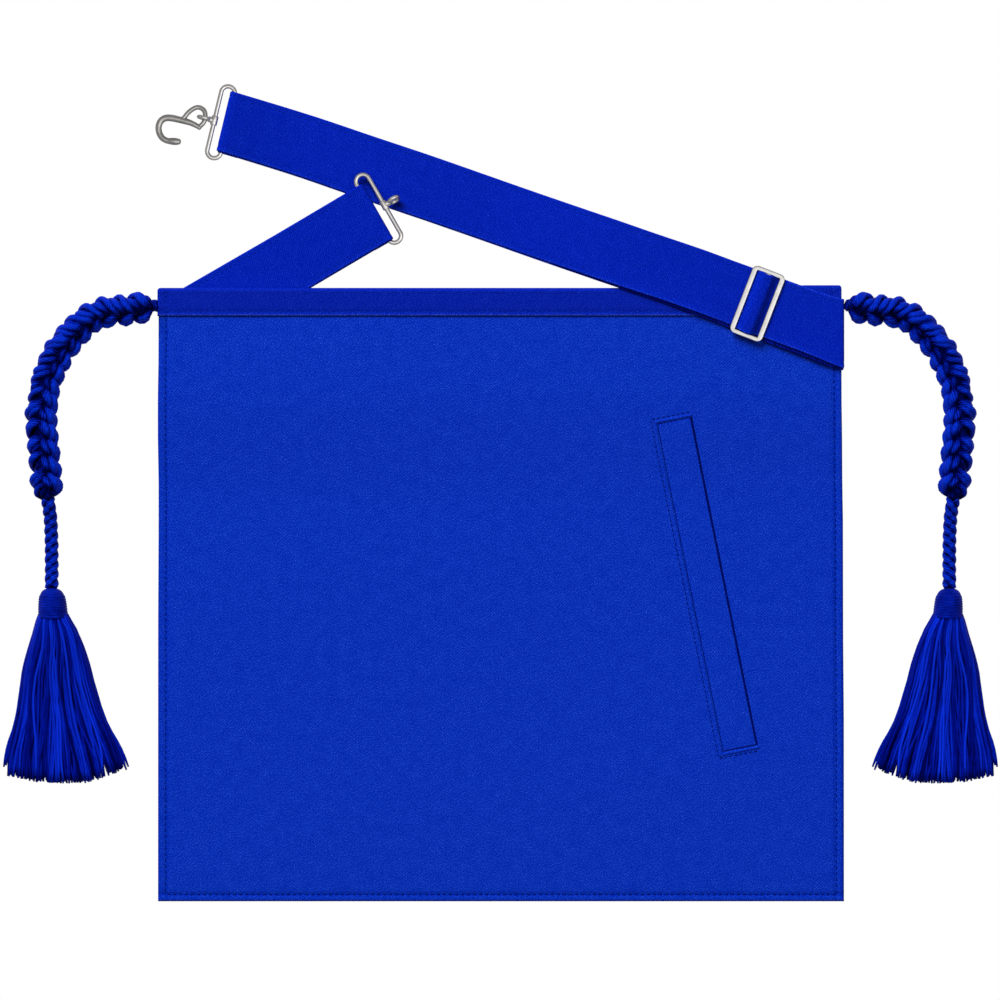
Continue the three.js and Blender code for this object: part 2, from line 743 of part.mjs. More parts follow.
const mirrored = (places) => places.map(([x, y, z]) => [-x, y, z]);
const tasselLean = { left: 4.2, right: -4.2 };
for (const [name, way] of [['left', 1], ['right', -1]]) {
  const turned = (places) => (way === 1 ? places : mirrored(places));
  const neck = neckRoutes[name].map(([x, y, z]) => [x - side, y, z]);
  const neckRod = rod(
    routeCurve(turned(neck)),
    (share) => neckDiameter / 2 * fromTable(neckTaper, share, 'size'),
    10,
    5,
  );
  add(apron, `${name}_neck`, neckRod, thread);
  add(apron, `${name}_plait`, cordTube(turned(plaitRoute), plaitDiameter, 12, 16), thread);
  add(apron, `${name}_cord`, cordTube(turned(cordRoute), cordDiameter, 8, 8), thread);
  const [endX, endY] = turned(cordRoute).at(-1);
  const holder = new THREE.Group();
  holder.position.set(endX, endY - gap, 0);
  holder.rotation.z = radians(tasselLean[name]);
  apron.add(holder);
  add(holder, `${name}_tassel`, tasselGeometry(), thread);
}

// The origin goes to the middle of the apron, its belt and its metal, on the floor
const loose = /_(neck|plait|cord|tassel)$/;
apron.updateMatrixWorld(true);
const extent = new THREE.Box3();
apron.traverse((object) => {
  if (object.isMesh && !loose.test(object.name)) {
    extent.expandByObject(object, true);
  }
});
const middle = extent.getCenter(new THREE.Vector3());
apron.position.set(-middle.x, -middle.y, -extent.min.z);

export default apron;
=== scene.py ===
# Ceremonial cloth apron, seen from its back, lying flat with its belt above it and a tassel at each side.
# Places are in millimetres from the middle of the apron's top edge: x to the right, y up the apron, z up.
import math

import bpy
import numpy as np
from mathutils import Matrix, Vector


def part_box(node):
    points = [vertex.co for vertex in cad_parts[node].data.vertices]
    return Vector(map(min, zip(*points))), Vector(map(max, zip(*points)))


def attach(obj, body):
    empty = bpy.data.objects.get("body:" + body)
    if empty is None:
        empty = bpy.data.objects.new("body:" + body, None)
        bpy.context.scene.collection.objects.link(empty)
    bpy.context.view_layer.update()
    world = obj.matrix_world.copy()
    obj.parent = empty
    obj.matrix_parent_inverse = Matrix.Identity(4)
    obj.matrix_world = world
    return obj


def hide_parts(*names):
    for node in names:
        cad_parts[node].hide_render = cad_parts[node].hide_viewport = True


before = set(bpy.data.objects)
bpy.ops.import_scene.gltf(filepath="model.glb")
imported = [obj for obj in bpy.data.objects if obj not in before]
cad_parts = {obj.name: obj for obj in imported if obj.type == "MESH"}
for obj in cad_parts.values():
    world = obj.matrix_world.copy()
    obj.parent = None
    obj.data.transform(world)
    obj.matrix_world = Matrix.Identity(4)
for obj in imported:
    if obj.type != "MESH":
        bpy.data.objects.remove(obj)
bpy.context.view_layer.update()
bpy.ops.object.select_all(action="DESELECT")

# Where the apron lies in the part: its top edge is the top edge of the binding.
mm = 0.001
band_low, band_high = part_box("top_band")
top_middle = np.array([(band_low.x + band_high.x) / 2, band_high.y, 0.0])


# The studio camera: a long lens straight above the apron, as a picture for a catalogue is taken.
picture_width = 600
picture_middle = (-0.3, -127.2)
camera_height = 2200
cloth_height = 3
lens_data = bpy.data.cameras.new("studio_camera")
lens_data.sensor_width = 36
lens_data.lens = lens_data.sensor_width * (camera_height - cloth_height) / picture_width
camera = bpy.data.objects.new("studio_camera", lens_data)
camera.location = Vector(top_middle) + Vector((*picture_middle, camera_height)) * mm
bpy.context.scene.collection.objects.link(camera)
bpy.context.scene.camera = camera


# Plaits: at each side a thick round plait of three cords, each laid from two soft rayon strands. It
# hangs from a short neck that is sewn under the binding, and curves down beside the apron.
def linear(hex_colour):
    """An sRGB hex colour as linear RGBA."""
    parts = [int(hex_colour[i : i + 2], 16) / 255 for i in (1, 3, 5)]
    return [c / 12.92 if c <= 0.04045 else ((c + 0.055) / 1.055) ** 2.4 for c in parts] + [1.0]


def add_node(material, kind, inputs=None, **settings):
    """Adds a shader node, sets its own settings, and fills its inputs with values or other nodes' outputs."""
    made = material.node_tree.nodes.new("ShaderNode" + kind)
    for name, value in settings.items():
        setattr(made, name, value)
    for name, value in (inputs or {}).items():
        if isinstance(value, bpy.types.NodeSocket):
            material.node_tree.links.new(value, made.inputs[name])
        else:
            made.inputs[name].default_value = value
    return made


def new_material(name):
    """An empty material, and its output node."""
    material = bpy.data.materials.new(name)
    material.use_nodes = True
    material.node_tree.nodes.clear()
    return material, add_node(material, "OutputMaterial")


def smooth_step(start, end, value):
    share = np.clip((np.asarray(value, float) - start) / (end - start), 0, 1)
    return share * share * (3 - 2 * share)


def distances(line):
    """How far along a line each of its points is."""
    return np.concatenate([[0], np.cumsum(np.linalg.norm(np.diff(line, axis=0), axis=1))])


def even_line(places, step):
    """A smooth line through given places, as points a step apart."""
    places = np.asarray(places, float)
    knots = np.concatenate([[2 * places[0] - places[1]], places, [2 * places[-1] - places[-2]]])
    fine = [places[:1]]
    h = np.linspace(0, 1, 17)[1:, None]
    for a, b, c, d in zip(knots, knots[1:], knots[2:], knots[3:]):
        slope_b, slope_c = (c - a) / 2, (d - b) / 2
        fine.append(
            (2 * h**3 - 3 * h**2 + 1) * b + (h**3 - 2 * h**2 + h) * slope_b
            + (3 * h**2 - 2 * h**3) * c + (h**3 - h**2) * slope_c
        )
    fine = np.concatenate(fine)
    along = distances(fine)
    at = np.linspace(0, along[-1], max(2, round(along[-1] / step) + 1))
    return np.stack([np.interp(at, along, fine[:, k]) for k in range(3)], axis=1)


def directions(line):
    ahead = np.gradient(np.asarray(line, float), axis=0)
    return ahead / np.linalg.norm(ahead, axis=1, keepdims=True)


def across_line(line):
    """The two ways across a line at each point: the level one, and the one that points up."""
    ahead = directions(line)
    beside = np.cross([0, 0, 1.0], ahead)
    beside = beside / np.linalg.norm(beside, axis=1, keepdims=True)
    return beside, np.cross(ahead, beside)


def tube(line, radii, sides):
    """Rings round a line, of each point's radius, without a twist from one to the next."""
    line = np.asarray(line, float)
    ahead = directions(line)
    radii = np.broadcast_to(radii, len(line))
    first = np.cross(ahead[0], [0.0, 0.0, 1.0])
    if np.linalg.norm(first) < 0.1:
        first = np.cross(ahead[0], [1.0, 0.0, 0.0])
    across = first / np.linalg.norm(first)
    angles = 2 * np.pi * np.arange(sides) / sides
    rings = []
    for point, way, radius in zip(line, ahead, radii):
        across = across - way * across.dot(way)
        across = across / np.linalg.norm(across)
        up = np.cross(way, across)
        rings.append(point + radius * (np.cos(angles)[:, None] * across + np.sin(angles)[:, None] * up))
    return np.array(rings)


def from_line(points, line):
    """How far each point is from the nearest place of a line."""
    line = np.asarray(line, float)
    return np.concatenate([
        np.linalg.norm(part[:, None] - line[None], axis=2).min(axis=1) for part in np.array_split(points, 8)
    ])


def metres(points):
    """Places in the part's own frame, in metres."""
    return (top_middle + np.asarray(points, float) * mm).tolist()


def built(name, points, faces, spots, tones, material):
    """A piece from its places and faces, with a UV map in metres and the tone of each of its points."""
    mesh = bpy.data.meshes.new(name)
    mesh.from_pydata(metres(points), [], faces)
    mesh.uv_layers.new(name="UVMap").data.foreach_set("uv", (spots * mm).ravel())
    mesh.attributes.new("tone", "FLOAT", "POINT").data.foreach_set("value", tones)
    mesh.polygons.foreach_set("use_smooth", [True] * len(mesh.polygons))
    mesh.materials.append(material)
    piece = bpy.data.objects.new(name, mesh)
    bpy.context.scene.collection.objects.link(piece)
    return piece


def claimed(piece, node_name=None):
    """The piece rides on the apron, and may stand for one of the part's solids, which it then hides."""
    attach(piece, "root")
    if node_name:
        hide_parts(node_name)
    return piece


def skin(name, strips, material, node_name=None, shades=None, core=None):
    """A piece of closed tubes, each skinned over its rings. Its UV map has metres round and along each tube,
    and its tone is each tube's own, or is painted shade that rises from the piece's core line outwards."""
    points, faces, places, tones = [], [], [], []
    start = 0
    for number, rings in enumerate(strips):
        rings = np.asarray(rings, float)
        count, sides = rings.shape[:2]
        centres = rings.mean(axis=1)
        along = distances(centres)
        ring = rings[count // 2]
        edges = np.linalg.norm(np.roll(ring, -1, axis=0) - ring, axis=1)
        around = np.concatenate([[0], np.cumsum(edges)])
        i, k = np.meshgrid(np.arange(count - 1), np.arange(sides), indexing="ij")
        i, k = i.ravel(), k.ravel()
        after = (k + 1) % sides
        quads = np.stack([i * sides + k, i * sides + after, (i + 1) * sides + after, (i + 1) * sides + k], 1)
        spots = np.stack([
            np.stack([around[k], along[i]], 1), np.stack([around[k + 1], along[i]], 1),
            np.stack([around[k + 1], along[i + 1]], 1), np.stack([around[k], along[i + 1]], 1),
        ], 1)
        flat = rings.reshape(-1, 3)
        middle = flat.mean(axis=0)
        corners = flat[quads] - middle
        volume = np.einsum("ij,ij->i", corners[:, 0], np.cross(corners[:, 1], corners[:, 2])).sum()
        volume += np.einsum("ij,ij->i", corners[:, 0], np.cross(corners[:, 2], corners[:, 3])).sum()
        caps = [np.arange(sides)[::-1], (count - 1) * sides + np.arange(sides)]
        if volume < 0:
            quads, spots = quads[:, ::-1], spots[:, ::-1]
            caps = [cap[::-1] for cap in caps]
        points.append(flat)
        faces += (quads + start).tolist() + [(cap + start).tolist() for cap in caps]
        cap_spots = [np.stack([around[:sides], np.full(sides, along[end])], 1) for end in (0, -1)]
        places += [spots.reshape(-1, 2), *cap_spots]
        if core is None:
            tones.append(np.broadcast_to(0.5 if shades is None else shades[number], (count, sides)).ravel())
        else:
            # Painted shade: the tone is darkest near the core line, in the gaps.
            line, inner, outer = core
            tones.append(np.clip((from_line(flat, line) - inner) / (outer - inner), 0, 1))
        start += len(flat)
    piece = built(name, np.concatenate(points), faces, np.concatenate(places), np.concatenate(tones), material)
    return claimed(piece, node_name)


def thread_material(name, deep, middle, bright, fibre, lean, sheen_size=4.0, shine=0.3, lined=0.3, sheen_share=0.7):
    """Rayon thread: fine slanted fibres under soft patches of painted sheen; its tone is painted shade, near
    black in its gaps. Its shine comes from inside the dyed fibres and so is blue, which a partly metallic surface
    gives."""
    material, output = new_material(name)
    place = add_node(material, "UVMap", uv_map="UVMap")
    tone = add_node(material, "Attribute", attribute_name="tone")
    turned = add_node(material, "Mapping", {"Vector": place.outputs["UV"], "Rotation": (0, 0, lean)})
    fibres = add_node(material, "TexWave", {
        "Vector": turned.outputs["Vector"], "Scale": wave_share / (fibre * mm), "Distortion": 1.5,
        "Detail": 2.0, "Detail Scale": 1.5,
    })
    spot = add_node(material, "TexCoord")
    # Patches of painted sheen: soft light bands across the threads.
    painted_sheen = add_node(material, "TexNoise", {
        "Vector": spot.outputs["Object"], "Scale": 1 / (sheen_size * mm), "Detail": 2.0,
    })
    parts = ((fibres.outputs["Fac"], lined), (painted_sheen.outputs["Fac"], sheen_share), (tone.outputs["Fac"], 0.85))
    level = 0.125 - (lined + sheen_share) / 2
    for part, share in parts:
        level = add_node(material, "Math", {0: part, 1: share, 2: level}, operation="MULTIPLY_ADD").outputs[0]
    colours = add_node(material, "ValToRGB", {"Fac": level})
    ramp = colours.color_ramp
    ramp.elements[0].position = 0.12
    ramp.elements[0].color = linear(deep)
    ramp.elements[1].position = 0.95
    ramp.elements[1].color = linear(bright)
    ramp.elements.new(0.5).color = linear(middle)
    bump = add_node(material, "Bump", {"Strength": 0.45, "Distance": 0.25 * mm, "Height": fibres.outputs["Fac"]})
    surface = add_node(material, "BsdfPrincipled", {
        "Base Color": colours.outputs["Color"], "Roughness": 0.4, "Metallic": shine,
        "Specular IOR Level": 0.08, "Specular Tint": blue_gloss, "Normal": bump.outputs["Normal"],
    })
    material.node_tree.links.new(surface.outputs["BSDF"], output.inputs["Surface"])
    return material


# A wave texture's scale is this share of one over the spacing of its bands.
wave_share = 0.314
# Dyed thread shines in its own blue.
blue_gloss = (0.02, 0.1, 1.0, 1.0)
# Twisted rayon: fibres 1.4 mm apart, drawn coarser than the real 0.2 mm so that they show.
plait_thread = thread_material(
    "twisted_rayon_plait", "#000114", "#010c74", "#062bba", 1.4, 0.7, sheen_size=2.2, lined=0.45, sheen_share=0.75,
)

plait_diameter = 17
plait_height = plait_diameter / 2 + 0.05
plait_route = [
    (-215.7, -11.7), (-221.1, -12.6), (-228.3, -13.6), (-235.5, -14.4), (-242.7, -16.4), (-249.7, -21.6),
    (-256.6, -28.6), (-263.8, -37.6), (-269.6, -48.4), (-273, -58.4), (-274.6, -68), (-275.4, -79.2),
    (-274.5, -91.2), (-273.3, -103.2), (-272.3, -115.2), (-271.7, -126),
]
plait_line = even_line([(-210.8, -11.1, plait_height)] + [(x, y, plait_height) for x, y in plait_route[1:]], 0.9)
plait_lay = 30
cord_across = 5.6
cord_up = 3.3
strand_count = 4
strand_radius = 1.95
strand_offset = 2.45
strand_twist = 21
plait_turn = ((0, 40, 90, 150), (0.5, 0.62, 0.1, -0.25))
core_radius = 4.6


def plaited(line):
    """The rings of twelve soft strands, in three cords that cross over each other along a line."""
    sideways, up = across_line(line)
    along = distances(line)
    fullness = 0.25 + 0.75 * smooth_step(-2.5, 3, along) * smooth_step(-2.5, 7, along[-1] - along)
    lean = np.interp(along, *plait_turn)
    # A core tube fills the plait's middle; its tone is painted near black, as painted shade in the gaps.
    rings = [tube(line, core_radius * fullness**2, 12)]
    for cord_number in range(3):
        turn = 2 * np.pi * (along / plait_lay + cord_number / 3)
        turn = turn + 0.3 * np.sin(along / 6.1 + 2.3 * cord_number) + 0.15 * np.sin(along / 2.9 + cord_number)
        spread = 1 + 0.09 * np.sin(along / 4.7 + 1.9 * cord_number)
        out = cord_across * spread * np.sin(turn) * fullness
        rise = cord_up * np.sin(2 * turn) * fullness
        out, rise = out * np.cos(lean) + rise * np.sin(lean), rise * np.cos(lean) - out * np.sin(lean)
        cord_path = line + out[:, None] * sideways + rise[:, None] * up
        beside, above = across_line(cord_path)
        for strand in range(strand_count):
            angle = 2 * np.pi * (along / strand_twist + strand / strand_count) + 0.9 * cord_number
            angle = angle + 0.5 * np.sin(along / 5.3 + strand + 2 * cord_number)
            away = strand_offset * (0.45 + 0.55 * fullness)
            strand_path = cord_path + away[:, None] * (
                np.cos(angle)[:, None] * beside + np.sin(angle)[:, None] * above
            )
            swell = 1 + 0.12 * np.sin(along / 0.9 + 2.1 * cord_number + 2.5 * strand)
            rings.append(tube(strand_path, strand_radius * swell * (0.55 + 0.45 * fullness), 10))
    return rings


def laid(line, count, radius, offset, twist, sides, bulge=0.0):
    """The rings of a few strands laid round each other along a line. A hard strand bulges where its own plies
    turn outwards."""
    beside, above = across_line(line)
    rings = []
    for strand in range(count):
        angle = 2 * np.pi * (distances(line) / twist + strand / count)
        around = np.cos(angle)[:, None] * beside + np.sin(angle)[:, None] * above
        swell = 1 + bulge * np.cos(6 * angle) * np.sin(angle) ** 2
        rings.append(tube(line + offset * around, radius * swell, sides))
    return rings


def on_side(strips, way):
    """Rings that were made for the left side, on that side or on the right one."""
    return [np.asarray(rings) * (way, 1, 1) for rings in strips]


side = 205
neck_diameter = 6
neck_routes = {
    "left": [(-0.6, -10.6, 4.4), (-2.4, -10.7, 4.4), (-6, -11.1, 7.2), (-9, -11.5, 8.8), (-11.5, -11.8, 8.8)],
    "right": [(-2.6, -10.4, 4.4), (-3.4, -10.5, 4.4), (-6.5, -11.1, 7.2), (-9, -11.5, 8.8), (-11.5, -11.8, 8.8)],
}


for name, way in (("left", 1), ("right", -1)):
    outwards = (way, 1, 1)
    neck_line = even_line([(x - side, y, z) for x, y, z in neck_routes[name]], 0.5)
    neck = skin(
        f"{name}_neck_cord", on_side(laid(neck_line, 3, 2.1, 1.75, 13, 10), way), plait_thread,
        f"{name}_neck", core=(neck_line * outwards, 2.0, 5.2),
    )
    plait = skin(
        f"{name}_plait_cords", on_side(plaited(plait_line), way), plait_thread,
        f"{name}_plait", core=(plait_line * outwards, 4.4, 8.8),
    )


# Thin cords: three strands twisted hard, which come out of each plait's end and carry the tassel.
cord_diameter = 7.6
cord_floor = cord_diameter / 2 + 0.05
cord_route = [
    (-271.7, -126.4, plait_height), (-271.5, -129, 8.5), (-271.2, -132, 7.5), (-270.9, -135.5, 5.9),
    (-270.6, -139.8, 4.6), (-270.4, -145, 4), (-270.2, -151, cord_floor), (-270.1, -157, cord_floor),
    (-270.1, -163, cord_floor), (-270, -168, 4.1), (-269.9, -172, 4.9), (-269.8, -176, 6), (-269.7, -179.7, 7),
]
cord_line = even_line(cord_route, 0.6) + (0.9, 0, 0)
cord_strand = 2.25
cord_offset = 2.0
cord_twist = 17.4
cord_bulge = 0.14


# Tassels: a domed head, wound round with thread, over a skirt of 240 cut threads that
# fan out and lie down on the floor. The cord goes in at the top of the head.
head_length = 17.7
head_profile = (
    (0, 0.4, 1.2, 2.4, 4, 6, 9, 13, 17.7),
    (2.2, 3.9, 5.3, 6.4, 7.3, 7.9, 8.3, 8.6, 8.75),
)
head_rise = (7.7, 9.05)
dome_height = 4.2
winding = 1.5
skirt_inside = 3.5
skirt_length = 99.5
skirt_half_widths = (
    (0, 0.03, 0.108, 0.192, 0.276, 0.36, 0.443, 0.527, 0.61, 0.694, 0.778, 0.861, 1),
    (7.0, 8.3, 11.6, 14.4, 16.6, 18.6, 19.9, 21.6, 23.4, 25.8, 28.4, 31.5, 34.5),
)
skirt_tip_height = 5.6
# How far the tassel sways towards the apron, at distances down from the cord's end.
tassel_sway = ((-118, -107, -89, -71, -53, -32, -23, -18, 0), (8.4, 7.4, 5.7, 4.25, 3.1, 2.8, 2.1, 1.2, 0.1))
thread_radius = 0.88
thread_count = 240
lock_count = 28
# How widely locks, and threads in a lock, differ in bow, wave and tone, and how far a thread's end drifts.
lock_spread = (1.9, 1.0, 0.22)
thread_spread = (1.4, 0.6, 0.2)
thread_drift = 1.6
# Loose threads at the skirt's two sides: their side, how far they bow out, and their length.
stray_threads = (
    (-1.0, 2.0, 0.99), (-1.03, 0.4, 0.96), (1.0, 1.0, 0.97), (1.06, -1.6, 0.99), (1.1, -2.6, 0.97),
    (-1.07, -1.0, 0.97),
)
tassel_thread = thread_material(
    "cut_rayon_thread", "#00023a", "#01108c", "#0a2ed0", 1.1, 1.15, sheen_size=5, lined=0.25, sheen_share=0.2,
)
head_thread = thread_material("wound_rayon_thread", "#00033c", "#02117c", "#0a28b4", 0.9, 1.5, sheen_size=6)


def head_rings():
    """The head's rings, round an axis that rises a little, so that its side lies on the floor."""
    profile = [(down, 0.0) for down in (0, 0.25, 0.7, 1.4, 2.3, 3.3)]
    for turn in range(int((head_length - dome_height) / winding)):
        for part, swell in ((0.0, -0.12), (0.2, 0.14), (0.5, 0.24), (0.8, 0.14)):
            profile.append((dome_height + (turn + part) * winding, swell))
    profile += [(head_length, -0.1), (head_length + 0.1, -2)]
    angles = 2 * np.pi * np.arange(40) / 40
    rings = []
    for down, swell in profile:
        radius = float(np.interp(down, *head_profile)) + swell
        centre = np.interp(down, (0, head_length), head_rise)
        across, up = radius * np.cos(angles), centre + radius * np.sin(angles)
        rings.append(np.stack([across, np.full(len(angles), -down), up], 1))
    return rings


def skirt_threads(seed):
    """The lines of the skirt's threads, from inside the head to their cut ends on the floor, and their tones.
    They hang in loose locks, which bow, cross and lie a little higher or lower than each other."""
    draw = np.random.default_rng(seed)
    shares = np.linspace(0, 1, 19)
    half_width = np.interp(shares, *skirt_half_widths)
    free = smooth_step(0.02, 0.35, shares)
    lock_bow, lock_wave, lock_tone = [draw.normal(size=lock_count) * spread for spread in lock_spread]
    lines, tones = [], []
    for number in range(thread_count):
        lane = 2 * (number + draw.uniform(0.0, 1.0)) / thread_count - 1
        lock = min(lock_count - 1, max(0, int((lane + 1 + draw.normal() * 0.03) / 2 * lock_count)))
        layer = (number * 0.618) % 1
        inner = (1 - 0.75 * lane**4) * (0.25 + 0.75 * min(1.0, layer / 0.4))
        shorter = 0.045 if lane < 0 else 0.085
        length = skirt_length * (1 - shorter * lane * lane) * (1 - 0.035 * draw.uniform(0, 1) ** 2)
        bow = (lock_bow[lock] + draw.normal() * thread_spread[0]) * np.sin(np.pi * shares)
        bend = draw.uniform(1.6, 3.4)
        wave = (lock_wave[lock] + draw.normal() * thread_spread[1]) * np.sin(bend * np.pi * shares + 2.1 * lock)
        drift = draw.normal() * thread_drift * shares
        x = lane * half_width + (bow + wave + drift) * inner * free
        y = -head_length + skirt_inside - (length + skirt_inside) * shares
        top = head_rise[1] + math.sqrt(max(0.05, 1 - (lane * 0.9) ** 2)) * 7.6 * (2 * layer - 1)
        tip = thread_radius + 0.1 + layer * (skirt_tip_height - 1.2) * (1 - 0.35 * lane * lane)
        fall = smooth_step(-0.05, 0.62, shares)
        ripple = 0.35 * draw.normal() * np.sin(3 * shares + 1.7 * lock) * free
        z = np.maximum(top + (tip - top) * fall + ripple, thread_radius + 0.08)
        lines.append(np.stack([x, y, z], 1))
        # Painted shade: threads of the lower layers are darker. Locks and threads also differ in tone at random,
        # and each thread grows darker towards its cut end.
        tone = 0.35 + 0.42 * layer + 0.6 * lock_tone[lock] + thread_spread[2] * draw.normal()
        tones.append(np.clip(tone - 0.26 * shares, 0, 1)[:, None])
    for lane, push, reach in stray_threads:
        x = lane * half_width + math.copysign(1, lane) * push * np.sin(np.pi * shares) ** 1.3
        y = -head_length + skirt_inside - (skirt_length * 0.93 * reach + skirt_inside) * shares
        z = head_rise[1] + (thread_radius + 0.3 - head_rise[1]) * smooth_step(-0.05, 0.6, shares)
        lines.append(np.stack([x, y, z], 1))
        tones.append(0.5)
    return lines, tones


def hung(points, way):
    """Places of the tassel, from the head's own top to the end of its cord on that side."""
    x, y, z = np.moveaxis(np.asarray(points), -1, 0)
    end_x, end_y = cord_line[-1][:2]
    sway = np.interp(y, tassel_sway[0], tassel_sway[1])
    return np.stack([way * (end_x + x + sway), end_y - 0.3 + y, z], -1)


for name, way in (("left", 1), ("right", -1)):
    head = skin(
        f"{name}_tassel_head", [hung(head_rings(), way)], head_thread, f"{name}_tassel",
    )
    lines, tones = skirt_threads(7)
    radii = thread_radius * np.append(np.ones(len(lines[0]) - 1), 0.6)
    skirt = skin(
        f"{name}_tassel_skirt", [hung(tube(line, radii, 6), way) for line in lines], tassel_thread,
        f"{name}_tassel", shades=tones,
    )
    strands = laid(cord_line, 3, cord_strand, cord_offset, cord_twist, 12, cord_bulge)
    cord = skin(
        f"{name}_tassel_cord", on_side(strands, way), plait_thread, f"{name}_cord",
        core=(cord_line * (way, 1, 1), 2.9, 4.35),
    )


# The panel: fine blue wool twill on a lining, turned in at its sides and foot and topstitched. It lies
# flat, and its top rests on the hidden ends of the belt. A slanted opening is cut in it for the pocket.
apron_height = 368.2
apron_wall = 2.4
band_under = 1.8
apron_rise = 3.1
panel_top = -1.3
raised_to = 58.5
ramp_length = 72
stitch_pitch = 3.6
side_stitch_row = 4.6
foot_stitch_row = 4.3
stitch_groove = (1.3, 0.42)
panel_rim = 1.15


# How far the sewn sides stray outwards from straight, down each side.
right_stray = (
    (-368, -259, -211, -139, -115, -91, -67, -40, 0),
    (1.26, 1.2, 0.8, 0.66, 0.24, 0, -0.45, -0.5, -0.6),
)
left_stray = ((-368, -200, -150, -115, -91, -67, -43, 0), (0.65, 0.6, 0.35, 0.3, 0.6, 0.5, 0.1, 0))


def strayed(x, y):
    """Where a place near one of the panel's sides lies, with that side's stray."""
    stray = np.where(x > 0, np.interp(y, *right_stray), np.interp(y, *left_stray))
    return x + np.sign(x) * stray * smooth_step(0.75, 1, np.abs(x) / side)


def lift(y):
    """How high the panel's underside is over the floor at a distance down from the top edge."""
    return apron_rise * (1 - smooth_step(raised_to, raised_to + ramp_length, -np.asarray(y, float)))


def cloth_material(name, deepest, dark, ground, light, palest):
    """Fine wool twill: slanted ribs, drawn 1.3 mm apart where the real ones are 0.5 mm, broken up by lint in a
    soft matt nap, and faintly mottled. The tone is painted shade in creases and at rims, and a painted highlight
    along some edges."""
    material, output = new_material(name)
    place = add_node(material, "UVMap", uv_map="UVMap")
    tone = add_node(material, "Attribute", attribute_name="tone")
    turned = add_node(material, "Mapping", {"Vector": place.outputs["UV"], "Rotation": (0, 0, 0.8)})
    ribs = add_node(material, "TexWave", {
        "Vector": turned.outputs["Vector"], "Scale": wave_share / (1.3 * mm), "Distortion": 4.0, "Detail": 2.0,
        "Detail Scale": 2.2, "Detail Roughness": 0.6,
    })
    lint = add_node(material, "TexNoise", {
        "Vector": place.outputs["UV"], "Scale": 1 / (0.8 * mm), "Detail": 1.0, "Roughness": 0.6,
    })
    mottle = add_node(material, "TexNoise", {
        "Vector": place.outputs["UV"], "Scale": 1 / (7 * mm), "Detail": 3.0, "Roughness": 0.5,
    })
    parts = (
        (tone.outputs["Fac"], 1.0), (ribs.outputs["Fac"], 0.19), (lint.outputs["Fac"], 0.95),
        (mottle.outputs["Fac"], 0.18),
    )
    level = 0.5 - 0.5 * sum(share for _, share in parts)
    for part, share in parts:
        level = add_node(material, "Math", {0: part, 1: share, 2: level}, operation="MULTIPLY_ADD").outputs[0]
    colours = add_node(material, "ValToRGB", {"Fac": level})
    ramp = colours.color_ramp
    ramp.elements[0].color = linear(deepest)
    ramp.elements[1].color = linear(palest)
    for position, colour in ((0.25, dark), (0.5, ground), (0.75, light)):
        ramp.elements.new(position).color = linear(colour)
    height = add_node(material, "Math", {0: lint.outputs["Fac"], 1: ribs.outputs["Fac"]}, operation="ADD")
    bump = add_node(material, "Bump", {"Strength": 0.2, "Distance": 0.15 * mm, "Height": height.outputs[0]})
    surface = add_node(material, "BsdfPrincipled", {
        "Base Color": colours.outputs["Color"], "Roughness": 0.85, "Specular IOR Level": 0.045,
        "Normal": bump.outputs["Normal"],
    })
    material.node_tree.links.new(surface.outputs["BSDF"], output.inputs["Surface"])
    return material


def pick(pieces):
    """Selects those pieces alone, the first as the active one."""
    bpy.ops.object.select_all(action="DESELECT")
    for piece in pieces:
        piece.select_set(True)
    bpy.context.view_layer.objects.active = pieces[0]


def finished(piece, smooth_angle):
    """Shades a piece smooth but for its sharp edges."""
    pick([piece])
    bpy.ops.object.shade_smooth_by_angle(angle=math.radians(smooth_angle))


def apply_modifiers(piece):
    pick([piece])
    for modifier in list(piece.modifiers):
        bpy.ops.object.modifier_apply(modifier=modifier.name)


def spaced(places, step):
    """Positions through given ones, with no gap wider than a step."""
    parts = [np.linspace(a, b, max(2, math.ceil((b - a) / step) + 1))[:-1] for a, b in zip(places, places[1:])]
    return np.concatenate([*parts, [places[-1]]])


def groove(distance, width, depth):
    return -depth * np.exp(-((np.asarray(distance) / width) ** 2))


def cloth_over(name, columns, rows, top, bottom, material, tone):
    """A closed piece of cloth over a grid of places, from its upper side's height to its lower side's. Its
    rim is rounded. Its UV map has the metres across and along it."""
    columns, rows = np.asarray(columns, float), np.asarray(rows, float)
    x, y = np.meshgrid(columns, rows, indexing="xy")
    wide, tall = len(columns), len(rows)
    upper = np.stack([x, y, top(x, y)], -1).reshape(-1, 3)
    lower = np.stack([x, y, bottom(x, y)], -1).reshape(-1, 3)
    i, k = np.meshgrid(np.arange(tall - 1), np.arange(wide - 1), indexing="ij")
    corner = (i * wide + k).ravel()
    over = np.stack([corner, corner + 1, corner + wide + 1, corner + wide], 1)
    count = len(upper)
    under = over[:, ::-1] + count
    spot = np.arange(count).reshape(tall, wide)
    rim = np.concatenate([spot[0], spot[1:, -1], spot[-1, -2::-1], spot[-2:0:-1, 0]])
    last = np.roll(rim, 1)
    faces = np.concatenate([over, under, np.stack([rim, last, last + count, rim + count], 1)])
    points = np.concatenate([upper, lower])
    tones = np.concatenate([tone(x, y).ravel(), np.full(count, 0.5)])
    return built(name, points, faces.tolist(), points[faces.ravel()][:, :2], tones, material)


